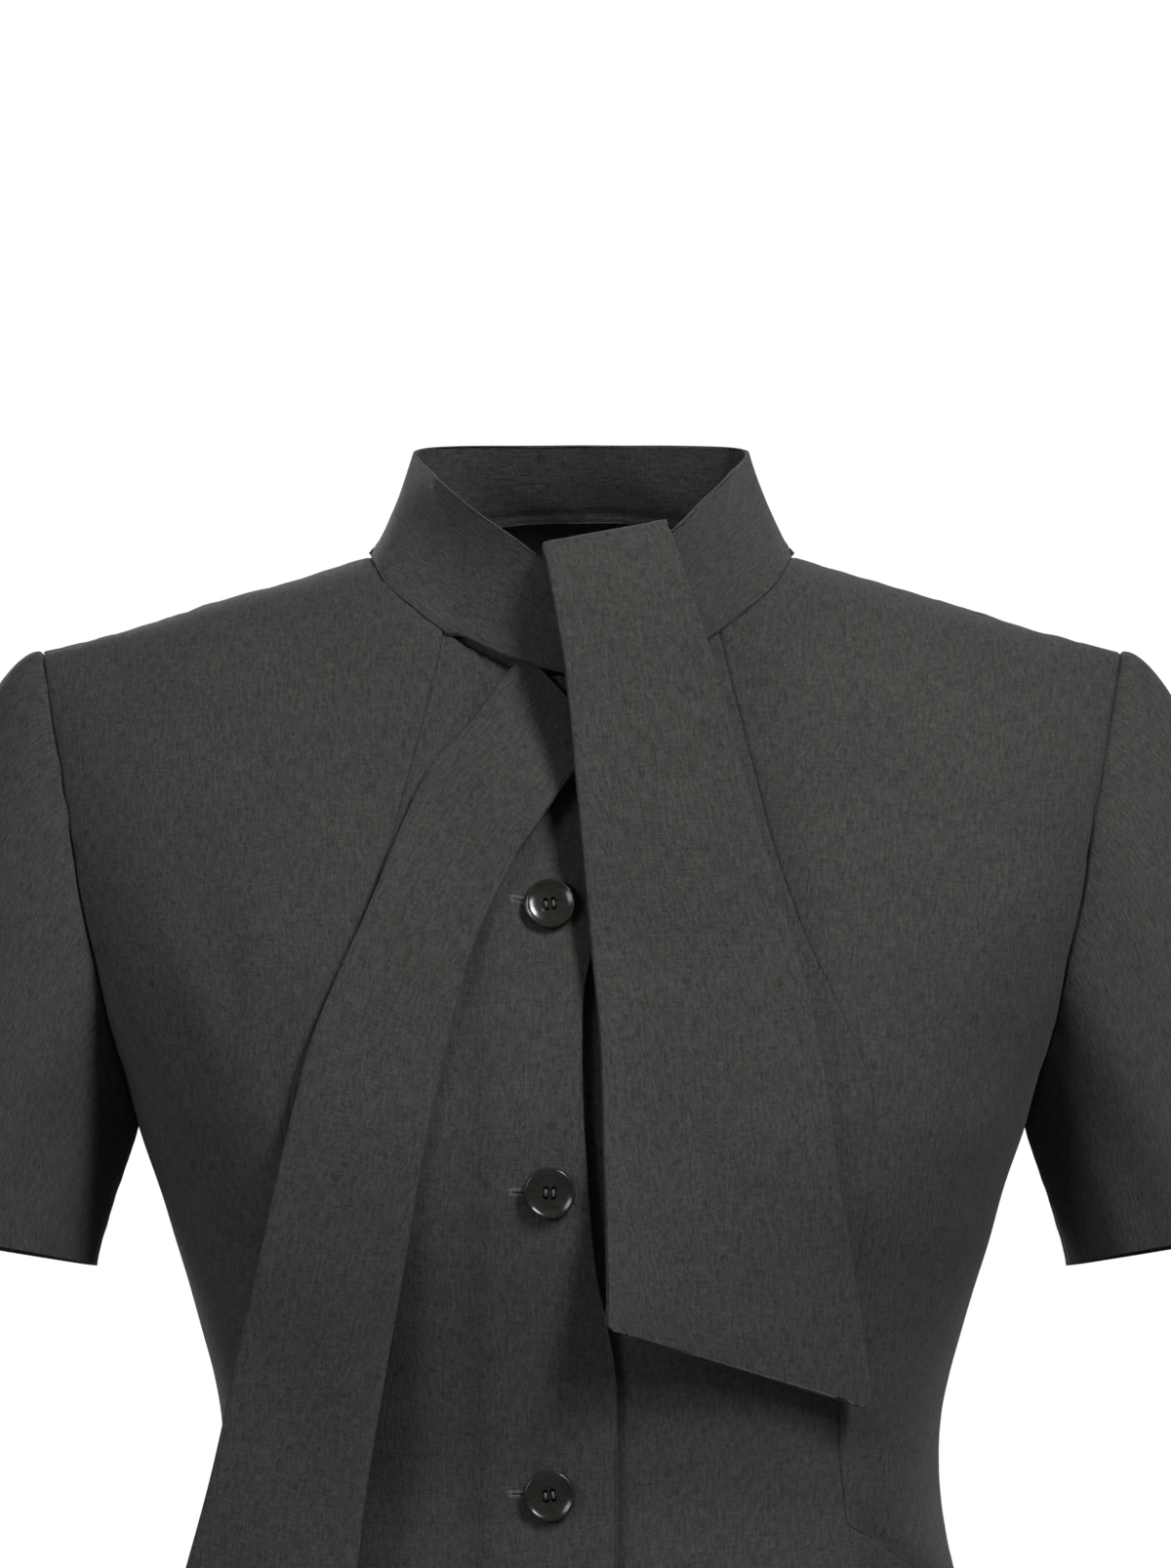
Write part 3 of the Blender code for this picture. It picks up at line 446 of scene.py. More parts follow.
def bodyLift(side, x, z):
    table, seed = (frontCreases, 3) if side is frontSide else (backCreases, 5)
    return creases(table, x, z) + ripples(x, z, seed, bodyWaves["size"], bodyWaves["reach"])


def bodyPiece(name, side, hand, x, z, lift, wall, material, turn, sewn, missing=None):
    # lift and wall are given for the left half of the body; hand -1 mirrors the piece
    flip = (hand < 0) != (side is backSide)
    if flip:
        x, z, lift = x[::-1], z[::-1], lift[::-1]
        wall, sewn = wall[::-1], sewn[::-1]
    x = x * hand
    columns, rows = x.shape
    out = bodyNormal(side, x, z)
    points = bodyPoint(side, x, z) + out * (lift + bodyLift(side, x, z))[..., None]
    hole = missing
    if missing and flip:
        hole = lambda i, j: missing(columns - 2 - i, j)
    flat = bodyMap(side, x, z, turn * hand)
    return clothShell(name, points, gridFaces(columns, rows, hole), flat, wall, material, sewn, out)


def overRaised(x):  # the over front lies proud of the body as far as the underlap goes
    return body["overRaise"] * fade((x - body["underlap"] - 0.003) / 0.013)


def hemWall(height, look):  # the turned-up hem doubles the cloth
    return look["wall"] + (look["hemWall"] - look["wall"]) * fade((height - look["hemDepth"]) / 0.0012)


def centreFront(name, hand, over, material):
    # the front from its edge to the princess seam, and below the pocket mouth round to the side
    look = frontLook
    shares = spaced(look["acrossCells"], 0.12)[:, None]

    def column(z):
        edge = -read(frontEdge, "x", z) if over else -body["underlap"]
        return edge + (princessEdge(z) - edge) * shares

    flatRow = np.zeros_like(shares)
    top = meetLevel(column, lambda x: neckLevel(frontSide, x))
    upper = spaced(look["upperCells"], 0.35, True, False)
    lower = spaced(look["hipCells"], 0.18, True, True)
    levels = (top, flatRow + body["corner"], flatRow + body["hem"])
    x, z = columnGrid(frontSide, column, levels, (upper, lower))
    hipRow = len(upper) - 1
    hipShares = spaced(look["hipAcrossCells"], 0.11)[1:][:, None]
    hipColumn = roundColumn(lambda z: body["cornerOut"] + 0 * z, sideEdge, hipShares)
    hipTop = meetLevel(hipColumn, pocketLevel)
    hipX, hipZ = columnGrid(frontSide, hipColumn, (hipTop, hipTop * 0 + body["hem"]), (lower,))
    above = np.repeat(hipX[:, :1], hipRow, axis=1), np.repeat(hipZ[:, :1], hipRow, axis=1)
    x = np.concatenate([x, np.concatenate([above[0], hipX], axis=1)])
    z = np.concatenate([z, np.concatenate([above[1], hipZ], axis=1)])
    corner = len(shares) - 1
    surface = bodyPoint(frontSide, x, z)
    across, down = runLength(surface, 0), runLength(surface, 1)
    far = np.full_like(x, 1.0)
    seamRight, neckEdge, mouthEdge, sideSeam = far.copy(), far.copy(), far.copy(), far.copy()
    seamRight[:corner + 1, :hipRow + 1] = across[corner, :hipRow + 1] - across[:corner + 1, :hipRow + 1]
    neckEdge[:corner + 1] = down[:corner + 1]
    mouthEdge[corner:, hipRow:] = down[corner:, hipRow:] - down[corner:, hipRow:hipRow + 1]
    sideSeam[:, hipRow:] = across[-1:, hipRow:] - across[:, hipRow:]
    lift = seamDip(seamRight, down, 11, princessPress(z)) + seamDip(neckEdge, across, 12, 2.2)
    lift += seamDip(sideSeam, down, 13)
    if over:
        lift += overRaised(x)
    else:
        lift -= look["underSink"] * fade((np.abs(x + 0.004) - 0.010) / 0.016)
    fromCorner = np.clip(across - across[corner], 0, 1)
    ends = (1 - fade(fromCorner / mouth["start"])) * (1 - fade(sideSeam / mouth["end"]))
    lift += mouth["raise"] * fade(mouthEdge / mouth["fade"]) * ends
    wall = hemWall(z - body["hem"], look)
    if over:
        wall = wall + 0.0006 * fade((across - 0.030) / 0.02)
    missing = lambda i, j: i >= corner and j < hipRow
    sewn = np.zeros(x.shape, bool)
    sewn[:, 0] = sewn[corner, :hipRow + 1] = sewn[-1, hipRow:] = True
    return bodyPiece(name, frontSide, hand, x, z, lift, wall, material, 0.0, sewn, missing)


def princessPress(z):  # the princess seam is pressed flatter below the bust
    return 1 - 0.55 * fade(np.abs(z + 0.205) / 0.085 - 0.3)


sideLook = {"acrossCells": 58, "upperCells": 100, "lowerCells": 64, "turn": 0.05}  # its grain leans a little


def sideFront(name, hand, material):
    look = sideLook
    shares = spaced(look["acrossCells"], 0.13)[:, None]
    column = roundColumn(princessEdge, sideEdge, shares)
    top = meetLevel(column, lambda x: neckLevel(frontSide, x))
    bottom = meetLevel(column, lambda x: pocketLevel(x) - mouth["under"])
    levels = (top, top * 0 + body["underarm"], bottom)
    parts = spaced(look["upperCells"], 0.25, True, False), spaced(look["lowerCells"], 0.18, False, True)
    x, z = columnGrid(frontSide, column, levels, parts)
    surface = bodyPoint(frontSide, x, z)
    across, down = runLength(surface, 0), runLength(surface, 1)
    lift = seamDip(across, down, 11, princessPress(z)) + seamDip(across[-1:] - across, down, 14)
    ends = (1 - fade((x - princessEdge(z)) / mouth["start"])) * (1 - fade((across[-1:] - across) / mouth["end"]))
    lift += seamDip(down, across, 15, 1.7) - mouth["sink"] * fade((z - pocketLevel(x)) / mouth["sinkReach"]) * ends
    sewn = np.ones(x.shape)
    return bodyPiece(name, frontSide, hand, x, z, lift, 0 * x + frontLook["wall"], material, look["turn"], sewn)


backLook = {"acrossCells": 96, "upperCells": 104, "lowerCells": 140}


def backPanel(name, hand, material):
    look = backLook
    shares = spaced(look["acrossCells"], 0.20)[:, None]
    column = roundColumn(lambda z: 0 * z, sideEdge, shares)
    top = meetLevel(column, lambda x: neckLevel(backSide, x))
    levels = (top, top * 0 + body["underarm"], top * 0 + body["hem"])
    parts = spaced(look["upperCells"], 0.26, True, False), spaced(look["lowerCells"], 0.34, False, True)
    x, z = columnGrid(backSide, column, levels, parts)
    surface = bodyPoint(backSide, x, z)
    across, down = runLength(surface, 0), runLength(surface, 1)
    lift = seamDip(across, down, 21) + seamDip(across[-1:] - across, down, 22) + seamDip(down, across, 23)
    wall = hemWall(z - body["hem"], frontLook)
    sewn = np.ones(x.shape, bool)
    sewn[1:-1, -1] = False
    return bodyPiece(name, backSide, hand, x, z, lift, wall, material, 0.0, sewn)


# Sleeves
sleeveLook = {"ringCells": 168, "rows": 96, "wall": 0.0014, "hemWall": 0.0022, "hemDepth": 0.030, "wave": 0.0004,
              "headUnder": 8}  # the sleeve head runs on under the edge of the armhole
sleeveShape = {
    "top": (0.020, 0.0, 0.004),
    "front": (0.013, -0.008, -0.018),
    "back": (0.013, 0.010, -0.018),
    "under": (0.0040, 0.0, -0.014),
    "cuffCentre": (0.2450, -0.0060, -0.2737),
    "cuffOut": (0.986, 0.0, 0.168),
    "cuffForward": (0.0, -0.997, 0.076),
    "cuffHalfWidth": 0.0530,
    "cuffHalfDepth": 0.0590,
    "armholeHalfDepth": 0.055,
    "armholeHalfHeight": 0.095,
    "reach": 0.44,
    "reachTop": 0.16,
}
sleeveCreases = asTable(  # x is the place round the sleeve from the shoulder, 0.25 at its front; z runs down it
    "x1 z1 x2 z2 bend width height",
    (0.10, -0.03, 0.14, -0.20, 0.010, 0.030, 0.0013),
    (0.30, -0.02, 0.22, -0.17, -0.010, 0.026, 0.0014),
    (0.40, -0.03, 0.33, -0.14, 0.010, 0.022, 0.0012),
    (0.66, -0.03, 0.74, -0.18, 0.012, 0.028, 0.0014),
    (0.86, -0.04, 0.84, -0.19, -0.010, 0.030, 0.0012),
    (0.58, -0.02, 0.62, -0.12, 0.008, 0.020, 0.0011),
    scale=1,
)


def sleeve(name, hand, material):
    look, cut = sleeveLook, sleeveShape
    vector = {key: np.array(value) for key, value in cut.items() if isinstance(value, tuple)}
    half = look["ringCells"] // 2
    lines = []
    for side in (frontSide, backSide):
        tip = meetLevel(lambda z: read(armhole, "out", z), lambda x: neckLevel(side, x))
        level = np.array([[float(tip)]])
        column = lambda z: read(armhole, "out", z)
        x, z = columnGrid(side, column, (level, level * 0 + body["underarm"]), (spaced(half, 0.20, False, True),))
        lines.append(bodyPoint(side, x, z)[0])
    ring = np.concatenate([lines[0][::-1], lines[1][1:]])  # from the underarm up its front and down its back
    centre = (ring[0] + ring[len(lines[0]) - 1]) / 2
    seen = ring - centre
    turn = np.arctan2(-seen[:, 1] / cut["armholeHalfDepth"], seen[:, 2] / cut["armholeHalfHeight"])
    up, side = np.cos(turn)[:, None], np.sin(turn)[:, None]
    sideWay = np.where(seen[:, 1:2] < 0, vector["front"], vector["back"])
    leave = vector["top"] * np.maximum(up, 0) + vector["under"] * np.maximum(-up, 0) + sideWay * side ** 2
    end = vector["cuffCentre"] + vector["cuffOut"] * cut["cuffHalfWidth"] * up
    end = end + vector["cuffForward"] * cut["cuffHalfDepth"] * side
    axis = np.cross(vector["cuffForward"], vector["cuffOut"])
    axis *= -np.sign(axis[2]) / np.linalg.norm(axis)
    control = end - axis * np.linalg.norm(end - ring, axis=1)[:, None] * (cut["reach"] + cut["reachTop"] * up)
    part = spaced(look["rows"], 0.22)[None, :, None]
    start, leave, control, end = (a[:, None, :] for a in (ring, ring + leave, control, end))
    rest = 1 - part
    grid = start * rest ** 3 + leave * 3 * part * rest ** 2 + control * 3 * part ** 2 * rest + end * part ** 3
    round_ = np.broadcast_to((np.unwrap(turn) / (2 * math.pi))[:, None], grid.shape[:2])
    if hand < 0:
        grid, round_ = (grid * np.array([-1, 1, 1]))[::-1], round_[::-1]
    across, down = runLength(grid, 0), runLength(grid, 1)
    out = gridNormals(grid)
    out[0] = out[-1] = unit(out[0] + out[-1])
    place = round_ % 1.0
    lift = creases(sleeveCreases, place, -down)
    wave = np.sin(2 * math.pi * (place * 3 + down * 6 + hand)) * np.sin(np.clip(down / 0.2, 0, 1) * math.pi)
    lift = lift + look["wave"] * wave
    lift = lift + seamDip(down, place * 0.4, 31, 1.5) + seamDip(np.minimum(across, across[-1:] - across), down, 32)
    wall = hemWall(down[:, -1:] - down, look)
    points = grid + out * lift[..., None]
    middle = across[:, across.shape[1] // 2][:, None]
    flat = np.stack([np.broadcast_to(middle, down.shape), -down], axis=-1)
    sewn = np.zeros(grid.shape[:2])
    sewn[0] = sewn[-1] = 1
    sewn[:, 0] = look["headUnder"]
    return clothShell(name, points, gridFaces(*grid.shape[:2]), flat, wall, material, sewn, out)


# Stand collar, from its over end at the throat round the neck to its under end
collarLook = {
    "along": 330, "down": 26, "wall": 0.0018, "innerWall": 0.0009, "hollow": 0.0014, "middleY": 0.010,
    "footRise": 0.0003, "footOut": 0.0016, "footDown": 0.0006, "footDownBack": 0.0010,
    "seamUp": 0.0048, "seamProud": 0.00050,  # the ridge of the seam turned up inside
}
collarSewn = metres([  # side, foot x, then the top edge's point
    ("front", 54, 58, -19, 31.2), ("front", 59.8, 60.8, -10, 34.2), ("front", 68, 64, 1, 37.4),
    ("front", 76.5, 66.2, 12, 40.2), ("front", 82.5, 67.2, 22, 42.5), ("back", 77, 65.5, 30.5, 44),
    ("back", 68, 60, 38, 45), ("back", 52, 48, 43.5, 45.8), ("back", 30, 29, 46.5, 46.2),
    ("back", 4.5, 4.5, 48, 46.3),
])
collarOver = metres([  # foot x, how far it stands forward and up from the neckline, then the top edge's point
    (12, 12, -2.2, 14, -80, -14), (0, 11.2, 0, -1, -76.5, -8.8), (-12, 10, 2.4, -15, -71.2, -2.8),
    (-22, 8, 3.2, -26, -63, 5.2), (-33, 5.2, 3.4, -39, -49, 14.6), (-44, 2.2, 2.2, -49.5, -34.5, 23.2),
])
collarUnder = metres([
    (46, 50, -35, 23.2), (33, 37, -57, 9.8), (12.2, 15, -68, -5),
])


def neckFoot(side, x, forward=0.0, up=0.0):
    point = bodyPoint(side, np.array(x), neckLevel(side, np.array(x)))
    return point + np.array([0, -forward, up + collarLook["footRise"]])


def throughPoints(points, count):  # a smooth line through points, evenly spaced but for its two ends
    points = np.array(points, float)
    keys = runLength(points, 0)
    fine = np.linspace(0, keys[-1], 4 * count)
    line = np.stack([curveThrough(keys, column, fine) for column in points.T], axis=1)
    gone = runLength(line[:, :3], 0)
    at = spaced(count, gone[-1]) * gone[-1]
    return np.stack([np.interp(at, gone, column) for column in line.T], axis=1)


def collar(name, material):
    look = collarLook
    rows = []
    for x, forward, up, *top in collarOver:
        rows.append([*neckFoot(frontSide, x, forward, up), *top])
    half = []
    for side, x, *top in collarSewn:
        half.append([*neckFoot(frontSide if side == "front" else backSide, x), *top])
    rows += [[-r[0], r[1], r[2], -r[3], r[4], r[5]] for r in half] + half[::-1]
    for x, *top in collarUnder:
        rows.append([*neckFoot(frontSide, x), *top])
    line = throughPoints(rows[::-1], look["along"])
    neckline = []
    for side in (frontSide, backSide):
        x = np.linspace(-body["sideNeck"], body["sideNeck"], 1600)
        neckline.append(bodyPoint(side, x, neckLevel(side, x)))
    neckline = np.concatenate(neckline)
    away = np.linalg.norm(line[:, None, :3] - neckline[None], axis=2)
    near, away = neckline[away.argmin(axis=1)], away.min(axis=1)[:, None]
    proud = near * np.array([1, 1, 0]) / np.linalg.norm(near[:, :2], axis=1, keepdims=True) * look["footOut"]
    proud = proud * (1 - 0.8 * np.clip(near[:, 1:2] / 0.03, 0, 1))
    down = look["footDown"] * np.clip(-near[:, 1:2] / 0.04, 0, 1)
    down = down + look["footDownBack"] * np.clip(near[:, 1:2] / 0.02, 0, 1)
    near = near + proud - np.array([0, 0, 1]) * down
    held = np.where(line[:, 1] > 0, 1, 1 - fade((np.abs(line[:, 0]) - 0.054) / 0.010))[:, None]
    line[:, :3] += (near - line[:, :3]) * fade((away - 0.0008 - 0.0025 * held) / 0.0012)
    foot, top = line[:, None, :3], line[:, None, 3:]
    part = 1 - spaced(look["down"], 0.045)[None, :, None]
    grid = foot + (top - foot) * part
    inward = np.stack([-grid[..., 0], look["middleY"] - grid[..., 1], 0 * grid[..., 0]], axis=-1)
    grid = grid + unit(inward) * look["hollow"] * np.sin(math.pi * part)
    out = gridNormals(grid)
    across, down = runLength(grid, 0), runLength(grid, 1)
    up = down[:, -1:] - down
    lift = ripples(across, down, 41, 0.00022, 0.045)
    lift += look["seamProud"] * fade(np.abs(up - look["seamUp"]) / 0.0030)
    points = grid + out * lift[..., None]
    return clothShell(name, points, gridFaces(*grid.shape[:2]), clothMap(grid, True), look["wall"], material)


def collarInside(name, material):  # the band's inner layer, from the neckline up behind its free front
    rows = []
    places = [(*row, 0.5, 0.0060) for row in collarOver]
    places.append((-0.0520, 0, 0, -0.0567, -0.0222, 0.0292, 0.3, 0.0050))
    for x, forward, up, *top, share, behind in places:
        foot, bandFoot = neckFoot(frontSide, x, -0.0030, -0.0020), neckFoot(frontSide, x, forward, up)
        rows.append([*foot, *(bandFoot + (np.array(top) - bandFoot) * share + np.array([0, behind, 0]))])
    line = throughPoints(rows[::-1], 60)
    part = 1 - np.linspace(0, 1, 13)[None, :, None]
    grid = line[:, None, :3] + (line[:, None, 3:] - line[:, None, :3]) * part
    faces = gridFaces(*grid.shape[:2])
    return clothShell(name, grid, faces, clothMap(grid, True), collarLook["innerWall"], material)


# Tie ends
overTie = metres([  # left x, level and depth, then the same of the right edge
    (-15.5, 3.5, 78, 33.6, 13, 64), (-12, -13.8, 92, 40.7, -7.6, 79), (-8.2, -34.7, 98.5, 45.6, -23.2, 85),
    (-4.8, -61.2, 102.5, 53.4, -48.3, 91), (-2.7, -85.8, 106.5, 60.9, -78.2, 98),
    (0.5, -119.7, 112, 71.7, -116, 106), (3.9, -157.3, 118, 81.4, -148.7, 111),
    (7, -190.9, 125, 89.3, -176.9, 114), (8.2, -232, 131.5, 95.8, -209.9, 116),
    (9.1, -261.8, 135.5, 100.2, -245.5, 113), (9.8, -288, 138.5, 109, -297.6, 100.5),
    (9.5, -300, 139.2, 113.5, -335, 90.5),
])
underTie = metres([
    (-21.5, -39, 69, 8, -70, 80), (-27, -44.6, 72, 1.6, -80.1, 90), (-43.2, -66, 80.2, -9.7, -95.2, 98),
    (-56, -80, 85, -17, -106, 100.5), (-65.5, -96, 88, -25.6, -118.7, 103),
    (-82.3, -136.8, 98, -42.1, -154.4, 111), (-102.3, -182.9, 108, -53.7, -200.1, 118),
    (-113.3, -222.5, 112, -61.1, -234.2, 122), (-123.3, -267.1, 109, -68.7, -279, 120),
    (-133, -308.8, 100, -75.9, -319.9, 115), (-143.2, -354.9, 92, -83.6, -366.6, 111),
    (-154.2, -395.4, 88, -88.9, -406.7, 112), (-167, -442, 87, -94.5, -430, 114),
])
tieLook = {
    "across": 44, "down": 190, "wall": 0.0022, "foldReach": 0.0050, "foldInside": 0.016, "cornerRound": 0.0055,
    "edgeFull": 0.0003, "edgeTurn": 0.0004, "overLift": 0.0042, "underLift": 0.0032,
}


def tieGrid(rows, lift):
    line = throughPoints([(r[0], -r[2], r[1], r[3], -r[5], r[4]) for r in rows], tieLook["down"])
    share = spaced(tieLook["across"], 0.08)[:, None]
    left, right = line[None, :, :3], line[None, :, 3:]
    x = left[..., 0] + (right[..., 0] - left[..., 0]) * share
    z = left[..., 2] + (right[..., 2] - left[..., 2]) * share
    hang = -(left[..., 1] + (right[..., 1] - left[..., 1]) * share)
    y = -soften(hang, depthAt(frontSide, x, z) + overRaised(np.abs(x)) + lift, 0.002)
    return roundCorners(np.stack([x, y, z], axis=-1), tieLook["cornerRound"])


def roundCorners(grid, reach):  # draws the two lower corners in on a small radius
    width = np.linalg.norm(grid[-1, -1] - grid[0, -1])
    up = runLength(grid, 1)
    up = (up[:, -1:] - up).mean(axis=0)
    inset = np.where(up < reach, reach - np.sqrt(np.maximum(reach ** 2 - (reach - up) ** 2, 0)), 0) / width
    share = runLength(grid, 0)
    share = share / share[-1:]
    middle = grid.mean(axis=0, keepdims=True)
    return grid + (middle - grid) * (inset * 2)[None, :, None]


def tie(name, grid, material, seed):
    look = tieLook
    out = gridNormals(grid)
    across, down = runLength(grid, 0), runLength(grid, 1)
    edge = np.minimum(across, across[-1:] - across)
    lift = ripples(across, down, seed, 0.00030, 0.050)
    # the edges are fuller where the seam is turned in
    lift += look["edgeFull"] * fade((edge - 0.0055) / 0.0025) - look["edgeTurn"] * fade(edge / 0.0018)
    points = grid + out * lift[..., None]
    return clothShell(name, points, gridFaces(*grid.shape[:2]), clothMap(grid), look["wall"], material)


def overTieGrid():  # the over end folds back over the top of the band
    grid = tieGrid(overTie, tieLook["overLift"])
    reach = tieLook["foldReach"]
    centre = grid[:, 0] + np.array([0, reach, -reach])
    inside = [centre + np.array([0, reach, -tieLook["foldInside"] * (1 - k / 8)]) for k in range(8)]
    bend = [centre + np.array([0, math.cos(a), math.sin(a)]) * reach for a in np.linspace(0, math.pi * 0.78, 14)]
    keep = runLength(grid, 1)[grid.shape[0] // 2] > 1.2 * reach
    start = np.stack(inside + bend, axis=1)
    return np.concatenate([start, grid[:, keep]], axis=1)


# Shaders
def addNode(tree, kind, inputs=None, **settings):
    node = tree.nodes.new(kind)
    for key, value in settings.items():
        setattr(node, key, value)
    for key, value in (inputs or {}).items():
        if isinstance(value, bpy.types.NodeSocket):
            tree.links.new(value, node.inputs[key])
        else:
            node.inputs[key].default_value = value
    return node


def newMaterial(name, specular):
    made = bpy.data.materials.new(name)
    made.use_nodes = True
    shader = made.node_tree.nodes["Principled BSDF"]
    shader.inputs["Specular IOR Level"].default_value = specular
    return made, made.node_tree, shader


def maths(tree, operation, a, b=0.0, clamp=False):
    return addNode(tree, "ShaderNodeMath", {0: a, 1: b}, operation=operation, use_clamp=clamp).outputs[0]


def shaderGroup(name, inputs, outputs):
    group = bpy.data.node_groups.new(name, "ShaderNodeTree")
    for label, kind, value in inputs:
        socket = group.interface.new_socket(name=label, in_out="INPUT", socket_type=kind)
        if value is not None:
            socket.default_value = value
    for label in outputs:
        group.interface.new_socket(name=label, in_out="OUTPUT", socket_type="NodeSocketFloat")
    return group, group.nodes.new("NodeGroupInput"), group.nodes.new("NodeGroupOutput")


def streaks(group, place, across, down, detail):  # noise drawn out along one set of threads
    stretched = addNode(group, "ShaderNodeVectorMath", {0: place, 1: (1 / across, 1 / down, 1)},
                        operation="MULTIPLY")
    drawn = {"Vector": stretched.outputs[0], "Scale": 1.0, "Detail": detail, "Roughness": 0.6}
    return addNode(group, "ShaderNodeTexNoise", drawn, noise_dimensions="2D").outputs[0]


threadSets = (  # noise size across and down in metres, detail, weight: warp, weft, then their finer threads
    (0.0013, 0.0075, 2.0, 1.1), (0.0066, 0.0013, 2.0, 0.62),
    (0.0007, 0.0032, 1.0, 0.9), (0.0028, 0.00065, 1.0, 0.6),
)


def makeWeaveGroup():
    group, start, end = shaderGroup(
        "worstedWeave",
        [("Place", "NodeSocketVector", None), ("Thread", "NodeSocketFloat", 0.0007),
         ("Slub", "NodeSocketFloat", 0.85), ("Regular", "NodeSocketFloat", 0.12)],
        ["Shade", "Height"],
    )
    given = start.outputs["Place"]
    wander = addNode(group, "ShaderNodeTexNoise", {"Vector": given, "Scale": 240.0, "Detail": 1.0},
                     noise_dimensions="2D")
    moved = addNode(group, "ShaderNodeVectorMath", {0: wander.outputs["Color"], 1: (0.0022, 0.0022, 0)},
                    operation="MULTIPLY")
    place = addNode(group, "ShaderNodeVectorMath", {0: given, 1: moved.outputs[0]}, operation="ADD").outputs[0]
    split = addNode(group, "ShaderNodeSeparateXYZ", {0: place})
    wave = []
    for axis in (0, 1):
        turns = maths(group, "DIVIDE", split.outputs[axis], start.outputs["Thread"])
        wave.append(maths(group, "SINE", maths(group, "MULTIPLY", turns, math.pi)))
    weave = maths(group, "MULTIPLY", wave[0], wave[1])
    total = maths(group, "MULTIPLY", weave, start.outputs["Regular"])
    for across, down, detail, weight in threadSets:
        threads = streaks(group, place, across, down, detail)
        part = maths(group, "MULTIPLY", maths(group, "SUBTRACT", threads, 0.5), start.outputs["Slub"])
        total = maths(group, "ADD", total, maths(group, "MULTIPLY", part, weight))
    group.links.new(maths(group, "ADD", total, 0.5, True), end.inputs["Shade"])
    group.links.new(total, end.inputs["Height"])
    return group


def makeMottleGroup():  # slow changes of tone from pressing and handling
    group, start, end = shaderGroup(
        "pressedTone", [("Place", "NodeSocketVector", None), ("Size", "NodeSocketFloat", 18.0)], ["Tone"]
    )
    place, size = start.outputs["Place"], start.outputs["Size"]
    wide = addNode(group, "ShaderNodeTexNoise", {"Vector": place, "Scale": size, "Detail": 3.0})
    near = addNode(group, "ShaderNodeTexNoise",
                   {"Vector": place, "Scale": maths(group, "MULTIPLY", size, 9.0), "Detail": 2.0})
    both = maths(group, "ADD", maths(group, "MULTIPLY", wide.outputs[0], 0.65),
                 maths(group, "MULTIPLY", near.outputs[0], 0.35))
    group.links.new(both, end.inputs["Tone"])
    return group


weaveGroup = makeWeaveGroup()
mottleGroup = makeMottleGroup()
clothLook = {"specular": 0.30, "relief": 0.0003, "sheen": 0.04, "sheenRoughness": 0.45, "tone": (0.90, 1.10),
             "rough": (0.92, 0.78)}


def mixed(tree, share, dark, light):  # a colour between two
    node = addNode(tree, "ShaderNodeMix", {0: share, 6: (*dark, 1), 7: (*light, 1)}, data_type="RGBA")
    return node.outputs[2]


def clothMaterial(name, dark, light):
    look = clothLook
    made, tree, shader = newMaterial(name, look["specular"])
    place = addNode(tree, "ShaderNodeUVMap", uv_map="cloth").outputs[0]
    where = addNode(tree, "ShaderNodeTexCoord").outputs["Object"]
    weave = addNode(tree, "ShaderNodeGroup", node_tree=weaveGroup)
    mottle = addNode(tree, "ShaderNodeGroup", node_tree=mottleGroup)
    tree.links.new(place, weave.inputs["Place"])
    tree.links.new(where, mottle.inputs["Place"])
    colour = mixed(tree, weave.outputs["Shade"], dark, light)
    tone = addNode(tree, "ShaderNodeMapRange",
                   {0: mottle.outputs["Tone"], 1: 0.3, 2: 0.7, 3: look["tone"][0], 4: look["tone"][1]})
    toned = addNode(tree, "ShaderNodeMix", {0: 1.0, 6: colour, 7: tone.outputs[0]},
                    data_type="RGBA", blend_type="MULTIPLY")
    tree.links.new(toned.outputs[2], shader.inputs["Base Color"])
    relief = addNode(tree, "ShaderNodeBump",
                     {"Strength": 0.6, "Distance": look["relief"], "Height": weave.outputs["Height"]})
    tree.links.new(relief.outputs[0], shader.inputs["Normal"])
    rough = addNode(tree, "ShaderNodeMapRange",
                    {0: weave.outputs["Shade"], 3: look["rough"][0], 4: look["rough"][1]})
    tree.links.new(rough.outputs[0], shader.inputs["Roughness"])
    shader.inputs["Sheen Weight"].default_value = look["sheen"]
    shader.inputs["Sheen Roughness"].default_value = look["sheenRoughness"]
    shader.inputs["Sheen Tint"].default_value = (0.9, 0.89, 0.86, 1)
    return made


bodyCloth = clothMaterial("bodyCloth", (0.0255, 0.0246, 0.0229), (0.0755, 0.0732, 0.0684))
tieCloth = clothMaterial("tieCloth", (0.0270, 0.0261, 0.0243), (0.0795, 0.0771, 0.0720))
print("cloth materials ready")

cloths = {
    "front_left": centreFront("frontUnder", 1, False, bodyCloth),
    "front_right": centreFront("frontOver", -1, True, bodyCloth),
    "side_front_left": sideFront("sideFrontLeft", 1, bodyCloth),
    "side_front_right": sideFront("sideFrontRight", -1, bodyCloth),
    "back_left": backPanel("backLeft", 1, bodyCloth),
    "back_right": backPanel("backRight", -1, bodyCloth),
    "sleeve_left": sleeve("sleeveLeft", 1, bodyCloth),
    "sleeve_right": sleeve("sleeveRight", -1, bodyCloth),
    "collar_band": collar("collarBand", bodyCloth),
    "tie_end_over": tie("tieOver", overTieGrid(), tieCloth, 61),
    "tie_end_under": tie("tieUnder", tieGrid(underTie, tieLook["underLift"]), tieCloth, 62),
}
innerLayer = collarInside("collarInner", bodyCloth)
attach(innerLayer, "root")
for node, piece in cloths.items():
    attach(piece, "root")
    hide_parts(node)
    print(piece.name, len(piece.data.polygons))


